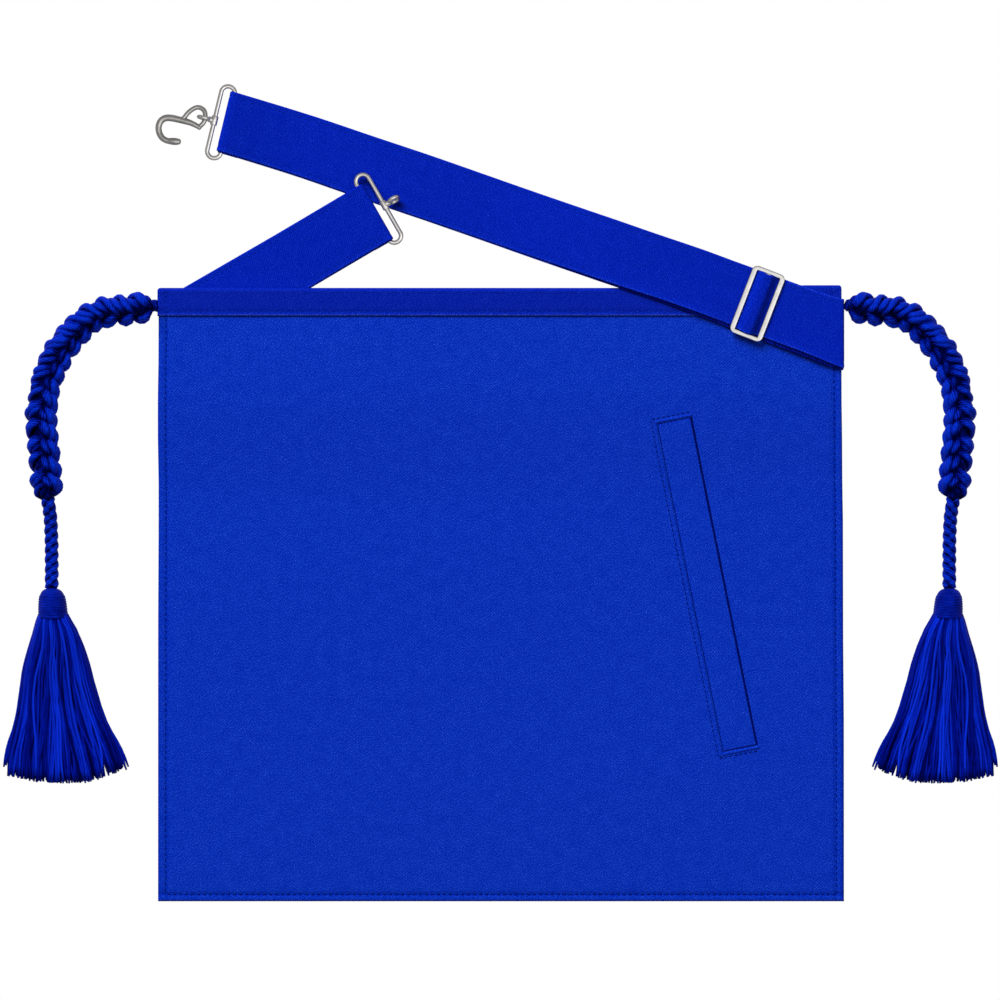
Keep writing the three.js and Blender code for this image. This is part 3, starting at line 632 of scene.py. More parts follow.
apron_twill = cloth_material("blue_wool_twill", "#000a56", "#001898", "#042caa", "#1c44c4", "#4c6ee2")
edge_steps = np.array([0, 0.18, 0.5, 1.0, 1.7, 2.5, 3.2, 3.8, 4.3, 4.8, 5.4, 6.2, 7.2, 9])
inner_columns = spaced([edge_steps[-1] - side, side - edge_steps[-1]], 4.2)[1:-1]
columns = np.concatenate([edge_steps - side, inner_columns, side - edge_steps[::-1]])
top_rows = [-14, -8, -4, panel_top - 1, panel_top - 0.4, panel_top]
inner_rows = spaced([edge_steps[-1] - apron_height, top_rows[0] - 6], 4.0)[1:]
rows = np.concatenate([edge_steps - apron_height, inner_rows, top_rows])


def rounded(distance, radius):
    """How far a rounded rim falls below the flat at a distance in from it."""
    inside = np.clip(radius - np.asarray(distance, float), 0, radius)
    return radius - np.sqrt(radius**2 - inside**2)


def panel_over(x, y):
    """The height of the panel's upper side: drawn down along the stitches, and a little uneven."""
    from_side = side - np.abs(x)
    from_foot = apron_height + y
    stitched = groove(from_side - side_stitch_row, *stitch_groove)
    stitched = stitched + groove(from_foot - foot_stitch_row, *stitch_groove)
    hem = 0.096 * (smooth_step(0, 2, from_side) * smooth_step(0, 2, from_foot))
    from_edge = np.minimum(from_side, from_foot)
    wander = 0.1 * np.sin(x / 31 + 1.3) * np.sin(y / 37) * smooth_step(0, 30, from_edge)
    return lift(y) + apron_wall - 0.12 - rounded(from_edge, panel_rim) + stitched + hem + wander


def panel_under(x, y):
    return lift(y) + rounded(np.minimum(side - np.abs(x), apron_height + y), panel_rim)


def panel_tone(x, y):
    """Painted shade: a darker line where the needle drew the cloth down, and at the very rim."""
    from_side, from_foot = side - np.abs(x), apron_height + y
    needle = groove(from_side - side_stitch_row, 0.8, 1) + groove(from_foot - foot_stitch_row, 0.8, 1)
    return 0.5 + 0.1 * np.maximum(needle, -1) - 0.12 * (1 - smooth_step(0, 0.9, np.minimum(from_side, from_foot)))


panel = cloth_over("apron_panel", columns, rows, panel_over, panel_under, apron_twill, panel_tone)
for vertex in panel.data.vertices:
    x, y, _ = (np.array(vertex.co) - top_middle) / mm
    vertex.co.x = top_middle[0] + float(strayed(x, y)) * mm


# The pocket: a slanted welt in the opening, piped round its top, foot and left side, and stitched down
# there. Its right long side is the mouth, and is left open.
welt_length = 200
welt_width = 20
welt_wall = 1
welt_tilt = math.radians(11.4)
welt_middle = np.array([side - 81.2, -178.0])
mouth_gap = 1.15
welt_up = np.array([-math.sin(welt_tilt), math.cos(welt_tilt)])
welt_across = np.array([welt_up[1], -welt_up[0]])


def on_welt(across, along, height=0.0):
    """A place on the pocket, from its middle, over the panel's underside."""
    across, along = np.asarray(across, float), np.asarray(along, float)
    x = welt_middle[0] + welt_across[0] * across + welt_up[0] * along
    y = welt_middle[1] + welt_across[1] * across + welt_up[1] * along
    return np.stack([x, y, lift(y) + height], -1)


def welt_rim(x, y):
    """How far a place on the welt is in from its nearest edge."""
    return np.minimum(welt_width / 2 - np.abs(x), welt_length / 2 - np.abs(y))


def pocket_cloth(name, across_places, along_places, over, under):
    """A closed slanted strip of cloth on the pocket, from its upper to its lower side's height."""
    flat = cloth_over(
        name, across_places, along_places, over, under, apron_twill,
        # Painted shade: the welt's very rim is a little darker.
        lambda x, y: 0.5 - 0.1 * (welt_rim(x, y) < 0.3),
    )
    local = np.zeros(len(flat.data.vertices) * 3)
    flat.data.vertices.foreach_get("co", local)
    local = (local.reshape(-1, 3) - top_middle) / mm
    placed = on_welt(local[:, 0], local[:, 1], 0)
    placed[:, 2] += local[:, 2]
    flat.data.vertices.foreach_set("co", (top_middle + placed * mm).ravel())
    return flat


opening_low, opening_high = 1.1, 3.6
welt_low, welt_high = 1.4, 2.5
opening_slip = 0.35
opening_sides = np.array([-welt_width / 2 - opening_slip, welt_width / 2 + mouth_gap])
opening_end = welt_length / 2 + opening_slip
opening = pocket_cloth(
    "pocket_opening", opening_sides, spaced([-opening_end, opening_end], 4),
    lambda x, y: opening_high + 0 * x, lambda x, y: opening_low + 0 * x,
)
cut = panel.modifiers.new("opening", "BOOLEAN")
cut.object = opening
cut.operation = "DIFFERENCE"
cut.solver = "MANIFOLD"
apply_modifiers(panel)
bpy.data.objects.remove(opening)
# Painted shade: the opening's floor and walls are painted darkest.
shades = panel.data.attributes["tone"].data
for number, vertex in enumerate(panel.data.vertices):
    x, y, z = (np.array(vertex.co) - top_middle) / mm
    sunk = z < panel_over(x, y) - 0.5 and z > lift(y) + 0.9
    shades[number].value = 0.0 if sunk and abs(x) < side - 30 else float(panel_tone(x, y))
finished(panel, 40)
claimed(panel, "apron_body")

welt_edge = np.array([0, 0.15, 0.4, 0.8, 1.6, 3, 6])
across_steps = np.concatenate([welt_edge - welt_width / 2, [0], welt_width / 2 - welt_edge[::-1]])
along_steps = np.concatenate([
    welt_edge[:5] - welt_length / 2, spaced([3 - welt_length / 2, welt_length / 2 - 3], 4),
    welt_length / 2 - welt_edge[4::-1],
])
welt = pocket_cloth(
    "pocket_welt_cloth", across_steps, along_steps,
    lambda x, y: welt_high - rounded(welt_rim(x, y), 0.55) + 0.22 * smooth_step(0, 7, welt_rim(x, y)),
    lambda x, y: welt_low + 0 * x,
)
finished(welt, 50)
claimed(welt, "pocket_welt")

# The piping lies on the panel just outside the welt.
piping_width = 1.9
piping_rise = 0.5
piping_out = 0.75
piping_end = 10.6


def welt_corners(out):
    """The corners of a run round the welt's top, left side and foot, at a distance out from it."""
    end, far = welt_length / 2 + out, -welt_width / 2 - out
    return np.array([(piping_end, end), (far, end), (far, -end), (piping_end, -end)])


def piping_ring(place, outward):
    """The pillow-shaped section of the piping at a place, across its run."""
    angles = np.linspace(0, 2 * np.pi, 13)[:-1]
    flat = np.cos(angles)[:, None] * piping_width / 2 * outward
    return place + flat + np.maximum(np.sin(angles), -0.25)[:, None] * (0, 0, piping_rise)


strips = []
corners = welt_corners(piping_out + piping_width / 2)
for a, b in zip(corners, corners[1:]):
    run = (b - a) / math.dist(a, b)
    outward = np.array([*(welt_across * run[1] - welt_up * run[0]), 0])
    mitre = np.array([*(welt_across * run[0] + welt_up * run[1]), 0]) * piping_width / 2 * 0.98
    places = on_welt(*np.linspace(a, b, 2 + int(math.dist(a, b) / 6)).T, apron_wall + 0.02)
    places[0] -= mitre
    places[-1] += mitre
    strips.append([piping_ring(place, outward) for place in places])
piping = skin("pocket_piping", strips, apron_twill)
finished(piping, 60)


# Topstitching: rows of small dark stitches, each a short thread that is sunk in the cloth at both ends.
stitch_thread = thread_material(
    "dark_blue_polyester_thread", "#000a48", "#02156c", "#06248e", 0.9, 0.4, shine=0.05,
)
belt_stitch_thread = thread_material(
    "royal_blue_polyester_thread", "#00127e", "#0426a8", "#163ed0", 0.9, 0.4, shine=0.05,
)
stitch_length = 2.3
stitch_thickness = 0.62


def stitch_rows(name, rows, material, thickness=stitch_thickness, length=stitch_length, pitch=stitch_pitch):
    """A piece with all the stitches along some rows of places on the cloth."""
    shares = np.array([-1.0, -0.8, -0.4, 0.4, 0.8, 1.0])
    radii = np.array([0.35, 0.75, 1.0, 1.0, 0.75, 0.35]) * thickness / 2
    strips = []
    for row in rows:
        row = np.asarray(row, float)
        along = distances(row)
        for middle in np.arange(pitch / 2, along[-1], pitch):
            at = np.clip(middle + shares * length / 2, 0, along[-1])
            line = np.stack([np.interp(at, along, row[:, k]) for k in range(3)], 1)
            line[:, 2] += thickness * (0.32 - 0.5 * np.abs(shares) ** 2.2)
            ahead = (line[-1] - line[0]) / np.linalg.norm(line[-1] - line[0])
            beside = np.cross([0, 0, 1.0], ahead)
            beside = beside / np.linalg.norm(beside)
            line = line + beside * np.linspace(-0.12, 0.12, len(shares))[:, None]
            strips.append(tube(line, radii, 6))
    return skin(name, strips, material)


def panel_row(places, step=2.0):
    line = np.concatenate([
        np.linspace(a, b, max(2, int(math.dist(a, b) / step)))[:-1] for a, b in zip(places, places[1:])
    ] + [[places[-1]]])
    heights = panel_over(line[:, 0], line[:, 1])
    return np.column_stack([strayed(line[:, 0], line[:, 1]), line[:, 1], heights])


side_row = side - side_stitch_row
foot_row = foot_stitch_row - apron_height
edge_stitches = stitch_rows("panel_edge_stitches", [
    panel_row([(-side_row, -17.6), (-side_row, foot_row - 0.2)]),
    panel_row([(-side_row, foot_row), (side_row, foot_row)]),
    panel_row([(side_row, foot_row), (side_row, -17.6)]),
], stitch_thread)
corners = welt_corners(piping_out + piping_width + 1.0)
pocket_rows = [on_welt(*np.linspace(a, b, 40).T, apron_wall - 0.05) for a, b in zip(corners, corners[1:])]
pocket_stitches = stitch_rows(
    "pocket_stitches", pocket_rows, stitch_thread, pitch=3.0, length=2.2,
)


# The binding: a strip of the belt's cloth, folded over the panel's top edge and stitched near its lower
# edge and across both ends. At its right end it rides up a little on the belt that passes round it.
band_depth = 17
band_wall = 1
band_over = 5.8
band_row = 2.7
band_ends_at = (side + 0.6, side - 0.6)
band_steps = (0.0, 0.12, 0.4, 0.8, 1.3, 1.9, 2.3, 2.7, 3.1, 3.6, 4.4, 6, 8, 10, 12, 14)
band_twill = cloth_material("blue_wool_twill_binding", "#000646", "#000d80", "#041b95", "#102cab", "#3a5cd4")


def band_section(x):
    """The closed outline of the binding's fold at a place along it: out over the panel, and back inside."""
    from_end = band_ends_at[int(x > 0)] - abs(x)
    top_y = 1.6 * smooth_step(165, 182, x) - rounded(from_end, 1.6)
    end_groove = groove(abs(x) - (side_row - 0.4 * (x > 0)), 1.2, 0.35)
    fall = rounded(from_end, 0.9)
    outer = band_over + band_wall - 0.05
    radius = (outer - band_under) / 2
    places = []
    for inward in band_steps:
        pillow = 0.3 * smooth_step(0, 1.0, inward) * (1 - smooth_step(1.6, 2.7, inward))
        sunk = groove(inward - band_row, 0.75, 0.34)
        crown = 0.15 * smooth_step(band_row, 9, inward)
        height = outer - 0.25 + pillow + sunk + crown - rounded(inward, 0.55) + end_groove - fall
        places.append((-band_depth + inward, height))
    for angle in math.pi * (0.5 - np.linspace(0, 1, 11)):
        height = band_under + radius + (radius - fall) * math.sin(angle)
        places.append((top_y - radius + radius * math.cos(angle), height))
    lowest, inside, highest = band_under + fall, band_under + band_wall, band_over - 0.05
    places += [(-10, lowest), (-band_depth, lowest), (-band_depth, inside), (-1.1, inside)]
    places += [(-1.1, highest), (-10, highest), (-band_depth, highest)]
    return np.array([(x, y, z) for y, z in places])


end_steps = [0, 0.15, 0.4, 0.8, 1.4, 2.2, 3.4, 4.2, 4.8, 5.2, 5.8, 6.6, 8, 10]
left_end, right_end = np.array(end_steps) - band_ends_at[0], band_ends_at[1] - np.array(end_steps)[::-1]
band_places = np.concatenate([left_end, spaced([left_end[-1], right_end[0]], 4)[1:-1], right_end])
# Painted light on the binding's lower edge: a painted highlight line just above the edge, and painted shade at
# the edge and along the stitch row.
edge_highlight_and_shade = {0.0: 0.45, 0.12: 0.75, 0.4: 0.85, 0.8: 0.8, 1.3: 0.55, 2.7: 0.4}
band_painted_light = [edge_highlight_and_shade.get(inward, 0.5) for inward in band_steps]
band_painted_light += [0.5] * (len(band_section(0.0)) - len(band_painted_light))
band = skin(
    "top_binding", [[band_section(x) for x in band_places]], band_twill, "top_band",
    shades=[band_painted_light],
)
finished(band, 50)
edge_height = band_over + band_wall - 0.42
band_rows = [[(x, -band_depth + band_row, edge_height) for x in np.linspace(-side + 1, side - 1, 120)]]
for x in (-side_row, side_row - 0.4):
    band_rows.append([(x, y, edge_height + 0.12) for y in np.linspace(-band_depth + 1, -1.5, 20)])
binding_stitches = stitch_rows(
    "binding_stitches", band_rows, belt_stitch_thread, thickness=0.5, length=1.9, pitch=3.2,
)


# The belt's long strap: a doubled strip of the cloth, edge-stitched. It starts on the hidden side, folds
# round the panel's right edge, runs through the slide, slopes down to the floor and ends in the hook's loop.
strap_width = 37.2
long_widths = (
    (-160, -114, -50, 0, 36, 67, 100, 117, 134, 145, 149, 158, 162, 185, 201),
    (36.7, 37.1, 37.7, 37.25, 37.2, 37.1, 36.5, 36.7, 36.5, 36.8, 37.8, 37.8, 37.1, 37.2, 38.4),
)
strap_wall = 1.5
strap_drop = 29.2
gap = 0.3
fold_side = side - 0.9
long_reach = 391.8
start_degrees, end_degrees = 21.9, 16.2
heading_start, heading_end = math.radians(start_degrees), math.radians(end_degrees)
end_turn = 13.4
long_tail = 18
lap_length = 12.5
loop_wire = 2.75
strap_over = 7.1
slide_place = 54.4
slide_width = 20.8
slide_bar = 3.3
slide_middle_bar = 2.6
slide_wall = 1.4
fold_radius = 1.2 + gap + strap_wall / 2
floor_layer = strap_wall / 2
lap_layer = floor_layer + strap_wall + gap
lap_top = 2 * fold_radius + floor_layer
long_turn = heading_start - heading_end
long_radius = long_reach / (2 * math.sin(long_turn / 2))
long_length = long_radius * long_turn - strap_wall / 2
over_layer = strap_over + strap_wall / 2
slide_under = strap_over + strap_wall + gap
bulge_layer = slide_under + slide_wall + gap + strap_wall / 2
window_half = slide_width / 2 - slide_bar
side_fold = gap + strap_wall / 2
side_bend = strap_wall * 0.93
long_half = strap_width / 2 / math.cos(heading_start)
leaves_apron = (strap_drop + long_half) / math.tan(heading_start) + 25
slope_length = 75
bulge_foot = window_half - 0.6
bulge_top = slide_middle_bar / 2 + 0.9
turned_by = [start_degrees - share * (start_degrees - end_degrees) for share in (0.1, 0.85)]
# How many degrees the strap's width is turned, at shares of its length.
long_turns = ((0, 0.1, 0.85, 1), (0, *turned_by, end_turn))


# How far the under ply stands out along the strap's lower edge.
long_lips = (
    (-160, -40, 36, 90, 125, 145, 149, 158, 163, 196, 204),
    (0.7, 0.5, 0.9, 1.2, 1.5, 1.7, -0.6, -0.6, 1.8, 2.1, 0.5),
)
# How far its lower edge curls up off the apron.
long_curls = ((50, 85, 125, 140, 148, 160, 168, 186, 204), (0, 1.2, 1.7, 0.3, 0, 0, 0.5, 1.6, 0.8))
# How far the lying strap strays up or down from its even line.
long_stray = even_line([
    (-175, 1.4, 0), (-160, 1.55, 0), (-120, 1.45, 0), (-80, 0.2, 0), (-36, -0.58, 0), (0, -1.13, 0),
    (18, -1.37, 0), (36, -1.45, 0), (54, -1.35, 0), (80, -0.95, 0), (108, 0.0, 0), (135, 0.4, 0), (160, 0.6, 0),
    (183, 1.17, 0), (205, 1.8, 0),
], 4)
# How far the slide draws it down, and over what length.
slide_sag, slide_sag_length = 1.5, 4.5


def long_plan(under, along):
    """The strap's middle, and its two ways in plan, at a distance along it from the panel's side."""
    inside = max(0.0, along)
    heading = heading_start - inside / long_radius
    reach = min(0.0, along) + long_radius * (math.sin(heading_start) - math.sin(heading))
    rise = long_radius * (math.cos(heading) - math.cos(heading_start)) * (-1 if under else 1)
    turn = 0.0 if under else math.radians(np.interp(inside / long_length, *long_turns))
    x = fold_side - reach
    stray = 0.0
    if not under:
        sag = slide_sag * math.exp(-(((along - slide_place) / slide_sag_length) ** 2))
        stray = np.interp(x, long_stray[:, 0], long_stray[:, 1]) - sag
    middle = np.array([x, -strap_drop + rise + stray, 0])
    width = strap_width if under else np.interp(x, *long_widths)
    widthways = np.array([math.sin(turn), math.cos(turn), 0])
    lengthways = np.array([-math.cos(turn), math.sin(turn), 0])
    return middle, width / 2 / math.cos(heading - turn), widthways, lengthways


def eased_track(corners, step):
    """A track of (hidden, distance along, height) through corners, each eased by its own rounding."""
    points = [np.array([along, height]) for _, along, height, _ in corners]
    track = [(corners[0][0], points[0])]

    def run_to(point, under):
        last = track[-1][1]
        count = max(1, math.ceil(np.linalg.norm(point - last) / step))
        track.extend((under, last + (point - last) * (n + 1) / count) for n in range(count))

    for number in range(1, len(corners) - 1):
        under, _, _, bend = corners[number]
        before, at, after = points[number - 1 : number + 2]
        start = at + (before - at) / np.linalg.norm(before - at) * bend
        end = at + (after - at) / np.linalg.norm(after - at) * bend
        run_to(start, under)
        for t in np.linspace(0, 1, 8)[1:]:
            track.append((under, (1 - t) ** 2 * start + 2 * t * (1 - t) * at + t * t * end))
    run_to(points[-1], corners[-1][0])
    return track


strap_edge_row = 3.2
across_shares = [
    -1, -0.985, -0.95, -0.91, -0.87, -0.83, -0.79, -0.74, -0.6, -0.4, -0.2, 0,
    0.2, 0.4, 0.6, 0.74, 0.79, 0.83, 0.87, 0.91, 0.95, 0.985, 1,
]


# The under ply's edge, from its foot: how far out of the lip it is, its level, and its tone, painted dark as
# shade.
lip_section = ((0, -1.0, 0.3), (1, -0.9, 0.3), (1, -0.5, 0.3), (0.85, -0.35, 0.25), (-0.1, -0.3, 0.02))


def strap_rings(track, plan_at, lip_at, curl_at):
    """The strap's closed sections and their tones: two plies of cloth with rounded edges, drawn down along the
    two stitched rows. The under ply stands out a little past the upper one at the lower edge, its tone painted
    dark as shade. A painted highlight runs just inside the upper side's lower edge, and near the fold along both
    edges, with painted shade right at the edges."""
    half = strap_wall / 2
    rings, tones = [], []
    for number, (under, point) in enumerate(track):
        before = track[max(0, number - 1)][1]
        after = track[min(len(track) - 1, number + 1)][1]
        first = point - before if number else after - point
        second = after - point if number < len(track) - 1 else first
        first, second = first / np.linalg.norm(first), second / np.linalg.norm(second)
        middle = (first + second) / np.linalg.norm(first + second)
        wall = half / max(0.7, middle.dot(first))
        centre, half_width, widthways, lengthways = plan_at(under, point[0])
        normal = lengthways * -middle[1] + np.array([0, 0, middle[0]])
        base = centre + np.array([0, 0, point[1]])
        lip = 0.15 if under else lip_at(centre[0])
        curl = 0.0 if under else curl_at(centre[0])
        ring, ring_tones = [], []
        for share in across_shares:
            inset = (1 - abs(share)) * half_width
            thick = wall - rounded(inset, half * 0.7) * wall / half
            thick += groove(inset - strap_edge_row, 0.8, 0.14)
            curled = np.array([0, 0, curl * max(0.0, -share - 0.1) ** 2])
            ring.append(base + widthways * half_width * share + normal * thick + curled)
            # Painted highlight just inside the lower edge, and near the fold along both edges; painted shade
            # right at each edge.
            painted_highlight = 0.2 < inset < 1.3 and (share < 0 or centre[0] > 165)
            ring_tones.append(0.5 + 0.14 * painted_highlight - 0.1 * (inset < 0.2))
        for share in across_shares[:0:-1]:
            inset = (1 - abs(share)) * half_width
            thick = wall - rounded(inset, half * 0.93) * wall / half
            curled = np.array([0, 0, curl * max(0.0, -share - 0.1) ** 2])
            ring.append(base + widthways * half_width * share - normal * thick * 0.995 + curled)
            ring_tones.append(0.5)
        for out, level, shade in lip_section:
            edge = base - widthways * (half_width + lip * out) + normal * wall * level
            ring.append(edge + (0, 0, curl * 0.8 - out * curl * 0.5))
            # Painted shade: where the strap lies over the apron the lip is dark; elsewhere it is paler.
            ring_tones.append(shade if centre[0] > 40 else 0.6)
        rings.append(ring)
        tones.append(ring_tones)
    return np.array(rings), np.array(tones)


long_corners = [
    (True, long_tail, floor_layer, 0),
    (True, -side_fold, floor_layer, side_bend),
    (False, -side_fold, over_layer, side_bend),
    (False, slide_place - bulge_foot, over_layer, 1.2),
    (False, slide_place - bulge_top, bulge_layer, 1.2),
    (False, slide_place + bulge_top, bulge_layer, 1.2),
    (False, slide_place + bulge_foot, over_layer, 1.2),
    (False, leaves_apron, over_layer, 18),
    (False, leaves_apron + slope_length, floor_layer, 18),
    (False, long_length - 3.4 * lap_length, floor_layer, 6),
    (False, long_length - 1.8 * lap_length, lap_layer, 6),
    (False, long_length - 1.8 * fold_radius, lap_top, 1.2),
    (False, long_length, lap_top, fold_radius * 0.98),
    (False, long_length, floor_layer, fold_radius * 0.98),
    (False, long_length - lap_length, floor_layer, 0),
]
strap_twill = cloth_material("blue_wool_twill_belt", "#00074a", "#000f8a", "#021c9f", "#0c2cb5", "#3a5cd4")


def seam_along(track, plan_at, share_from_edge, side_of_middle, start, end):
    """A row of places on the strap's upper side, along one of its edges."""
    row = []
    for number, (under, point) in enumerate(track):
        if under or not start <= point[0] <= end:
            continue
        before, after = track[max(0, number - 1)][1], track[min(len(track) - 1, number + 1)][1]
        if after[0] <= before[0]:
            continue
        centre, half_width, widthways, _ = plan_at(under, point[0])
        place = centre + widthways * side_of_middle * (half_width - share_from_edge)
        row.append(place + np.array([0, 0, point[1] + strap_wall / 2 - 0.1]))
    return row


def seam_across(plan_at, along, height):
    centre, half_width, widthways, _ = plan_at(False, along)
    shares = np.linspace(-0.86, 0.86, 24)[:, None]
    return centre + widthways * half_width * shares + np.array([0, 0, height])


lap_seam = 12.8


def lap_height(start, end):
    """How high the lap's seam lies, on the ramp between two distances back from the strap's end."""
    return float(np.interp(start - lap_seam, (0, start - end), (lap_layer, lap_top)))


def sewn_strap(kind, corners, plan_at, lip_at, curl_at, seam_start, length, seam_height):
    """One of the belt's straps, with a row of stitches along both edges and one across its lap."""
    track = eased_track(corners, 3.2)
    rings, tones = strap_rings(track, plan_at, lip_at, curl_at)
    strap = skin(f"{kind}_belt_strap", [rings], strap_twill, f"{kind}_strap", shades=[tones])
    finished(strap, 55)
    rows = [seam_along(track, plan_at, strap_edge_row, way, seam_start, length - 3) for way in (-1, 1)]
    rows.append(seam_across(plan_at, length - lap_seam, seam_height + strap_wall / 2 - 0.1))
    stitches = stitch_rows(
        f"{kind}_strap_stitches", rows, belt_stitch_thread, thickness=0.42, length=1.9, pitch=3.2,
    )


sewn_strap(
    "long", long_corners, long_plan, lambda x: np.interp(x, *long_lips), lambda x: np.interp(x, *long_curls),
    1.5, long_length, lap_height(1.8 * lap_length, 1.8 * fold_radius),
)


# The belt's short strap starts on the hidden side at the left, and lies on the long one at its end.
short_reach = 151.8
short_heading = math.radians(30)
short_tail_inset = 8
short_width = 37.8
short_drop = strap_drop + 0.8
short_length = short_reach - strap_wall / 2
on_strap = strap_wall + gap


def short_plan(under, along):
    turn = math.radians(np.interp(along / short_length, (0, 0.3, 1), (0, 30, 30)))
    middle = np.array([-side + along * math.cos(short_heading), along * math.sin(short_heading) - short_drop, 0])
    widthways = np.array([-math.sin(turn), math.cos(turn), 0])
    lengthways = np.array([math.cos(turn), math.sin(turn), 0])
    return middle, short_width / 2 / math.cos(short_heading - turn), widthways, lengthways


leaves_band = strap_drop / math.sin(short_heading) + strap_width / 2 / math.tan(short_heading) + 2
short_corners = [
    (False, short_tail_inset, floor_layer, 0),
    (False, leaves_band, floor_layer, 5),
    (False, short_length - 2.2 * lap_length, on_strap + lap_layer, 8),
    (False, short_length - 1.8 * fold_radius, on_strap + lap_top, 1.2),
    (False, short_length, on_strap + lap_top, fold_radius * 0.98),
    (False, short_length, on_strap + floor_layer, fold_radius * 0.98),
    (False, short_length - lap_length, on_strap + floor_layer, 0),
]
sewn_strap(
    "short", short_corners, short_plan, lambda x: 0.5, lambda x: 0.0, 20, short_length,
    on_strap + lap_height(2.2 * lap_length, 1.8 * fold_radius),
)


# The slide: a pressed frame of nickel-plated steel with a middle bar, which the strap is laced over.
def nickel_material(name, dull, bright, rough):
    """Nickel plate, barrelled to a soft shine: warm grey, with faint cloudy patches."""
    material, output = new_material(name)
    place = add_node(material, "TexCoord")
    clouds = add_node(material, "TexNoise", {
        "Vector": place.outputs["Object"], "Scale": 1 / (5 * mm), "Detail": 4.0,
    })
    colours = add_node(material, "ValToRGB", {"Fac": clouds.outputs["Fac"]})
    colours.color_ramp.elements[0].color = linear(dull)
    colours.color_ramp.elements[1].color = linear(bright)
    roughness = add_node(material, "MapRange", {
        "Value": clouds.outputs["Fac"], "To Min": rough - 0.05, "To Max": rough + 0.08,
    })
    surface = add_node(material, "BsdfPrincipled", {
        "Base Color": colours.outputs["Color"], "Metallic": 1.0, "Roughness": roughness.outputs["Result"],
    })
    material.node_tree.links.new(surface.outputs["BSDF"], output.inputs["Surface"])
    return material


satin_nickel = nickel_material("satin_nickel_plate", "#9d9b99", "#cdcbc9", 0.3)
slide_end_bar = 2.7
slide_height = 42.9
slide_corner = 3.6
slide_rim = 0.62
slide_rise = 0.5


def placed_at(piece, middle, height, lengthways, tilt=0.0):
    """Puts a finished piece in place, with its own x along the strap, and leaves its object at the origin."""
    turn = math.atan2(lengthways[1], lengthways[0])
    spots = np.zeros(len(piece.data.vertices) * 3)
    piece.data.vertices.foreach_get("co", spots)
    x, y, z = spots.reshape(-1, 3).T
    x, z = x * math.cos(tilt) - z * math.sin(tilt), x * math.sin(tilt) + z * math.cos(tilt)
    x, y = x * math.cos(turn) - y * math.sin(turn), x * math.sin(turn) + y * math.cos(turn)
    spots = np.stack([x + middle[0], y + middle[1], z + height], 1)
    piece.data.vertices.foreach_set("co", (top_middle + spots * mm).ravel())
    piece.data.update()
    return piece


def soften(piece, width, segments=3):
    """Rounds a piece's sharp edges."""
    rims = piece.modifiers.new("rims", "BEVEL")
    rims.width = width
    rims.segments = segments
    rims.limit_method = "ANGLE"
    rims.angle_limit = math.radians(60)
    apply_modifiers(piece)


def as_piece(piece, name, material, node_name, angle=35):
    """Names and finishes a metal piece."""
    piece.name = name
    piece.data.materials.clear()
    piece.data.materials.append(material)
    finished(piece, angle)
    claimed(piece, node_name)


bpy.ops.mesh.primitive_plane_add(size=1)
slide = bpy.context.object
for vertex in slide.data.vertices:
    vertex.co = Vector((vertex.co.x * slide_width, vertex.co.y * slide_height, 0))
bpy.ops.object.mode_set(mode="EDIT")
bpy.ops.mesh.select_all(action="SELECT")
bpy.ops.mesh.bevel(affect="VERTICES", offset=slide_corner, segments=8, clamp_overlap=False)
bpy.ops.mesh.select_all(action="SELECT")
bpy.ops.mesh.inset(thickness=slide_bar)
bpy.ops.mesh.delete(type="FACE")
bpy.ops.object.mode_set(mode="OBJECT")
window_end = slide_height / 2 - slide_bar
for vertex in slide.data.vertices:
    if abs(vertex.co.x) < window_half + 0.01 and abs(vertex.co.y) < window_end + 0.01:
        vertex.co.y += math.copysign(slide_bar - slide_end_bar, vertex.co.y)
bpy.ops.object.mode_set(mode="EDIT")
bpy.ops.mesh.select_all(action="SELECT")
bpy.ops.mesh.extrude_region_move(TRANSFORM_OT_translate={"value": (0, 0, slide_wall)})
bpy.ops.mesh.select_all(action="SELECT")
bpy.ops.mesh.normals_make_consistent(inside=False)
bpy.ops.object.mode_set(mode="OBJECT")
soften(slide, slide_rim, 4)
slide_middle, _, slide_across, slide_way = long_plan(False, slide_place)
slide_middle = slide_middle + slide_across * slide_rise
placed_at(slide, slide_middle, slide_under, slide_way)
as_piece(slide, "strap_slide_frame", satin_nickel, "strap_slide")

bpy.ops.mesh.primitive_cube_add(size=1)
middle_bar = bpy.context.object
bar_length = slide_height - 2 * slide_end_bar + 1
for vertex in middle_bar.data.vertices:
    x, y, z = vertex.co
    vertex.co = Vector((x * slide_middle_bar, y * bar_length, (z + 0.5) * slide_wall))
soften(middle_bar, 0.4)
placed_at(middle_bar, slide_middle, slide_under, slide_way)
as_piece(middle_bar, "strap_slide_bar", satin_nickel, "strap_slide")


# The wire loops: one at each strap's end, bent from nickel-plated wire and closed in a long ring, with
# a collar soldered at the middle of the outer side that carries a small eye.
loop_depth = 8.3
eye_wire = 2.4
eye_diameter = 8.8
loop_bend = loop_depth / 2
eye_radius = (eye_diameter - eye_wire) / 2
eye_reach = loop_depth + loop_wire / 2 + eye_wire * 0.75 + eye_radius


def joined_piece(parts):
    pick(parts)
    bpy.ops.object.join()
    bpy.ops.object.transform_apply(location=True, rotation=True, scale=True)
    return parts[0]


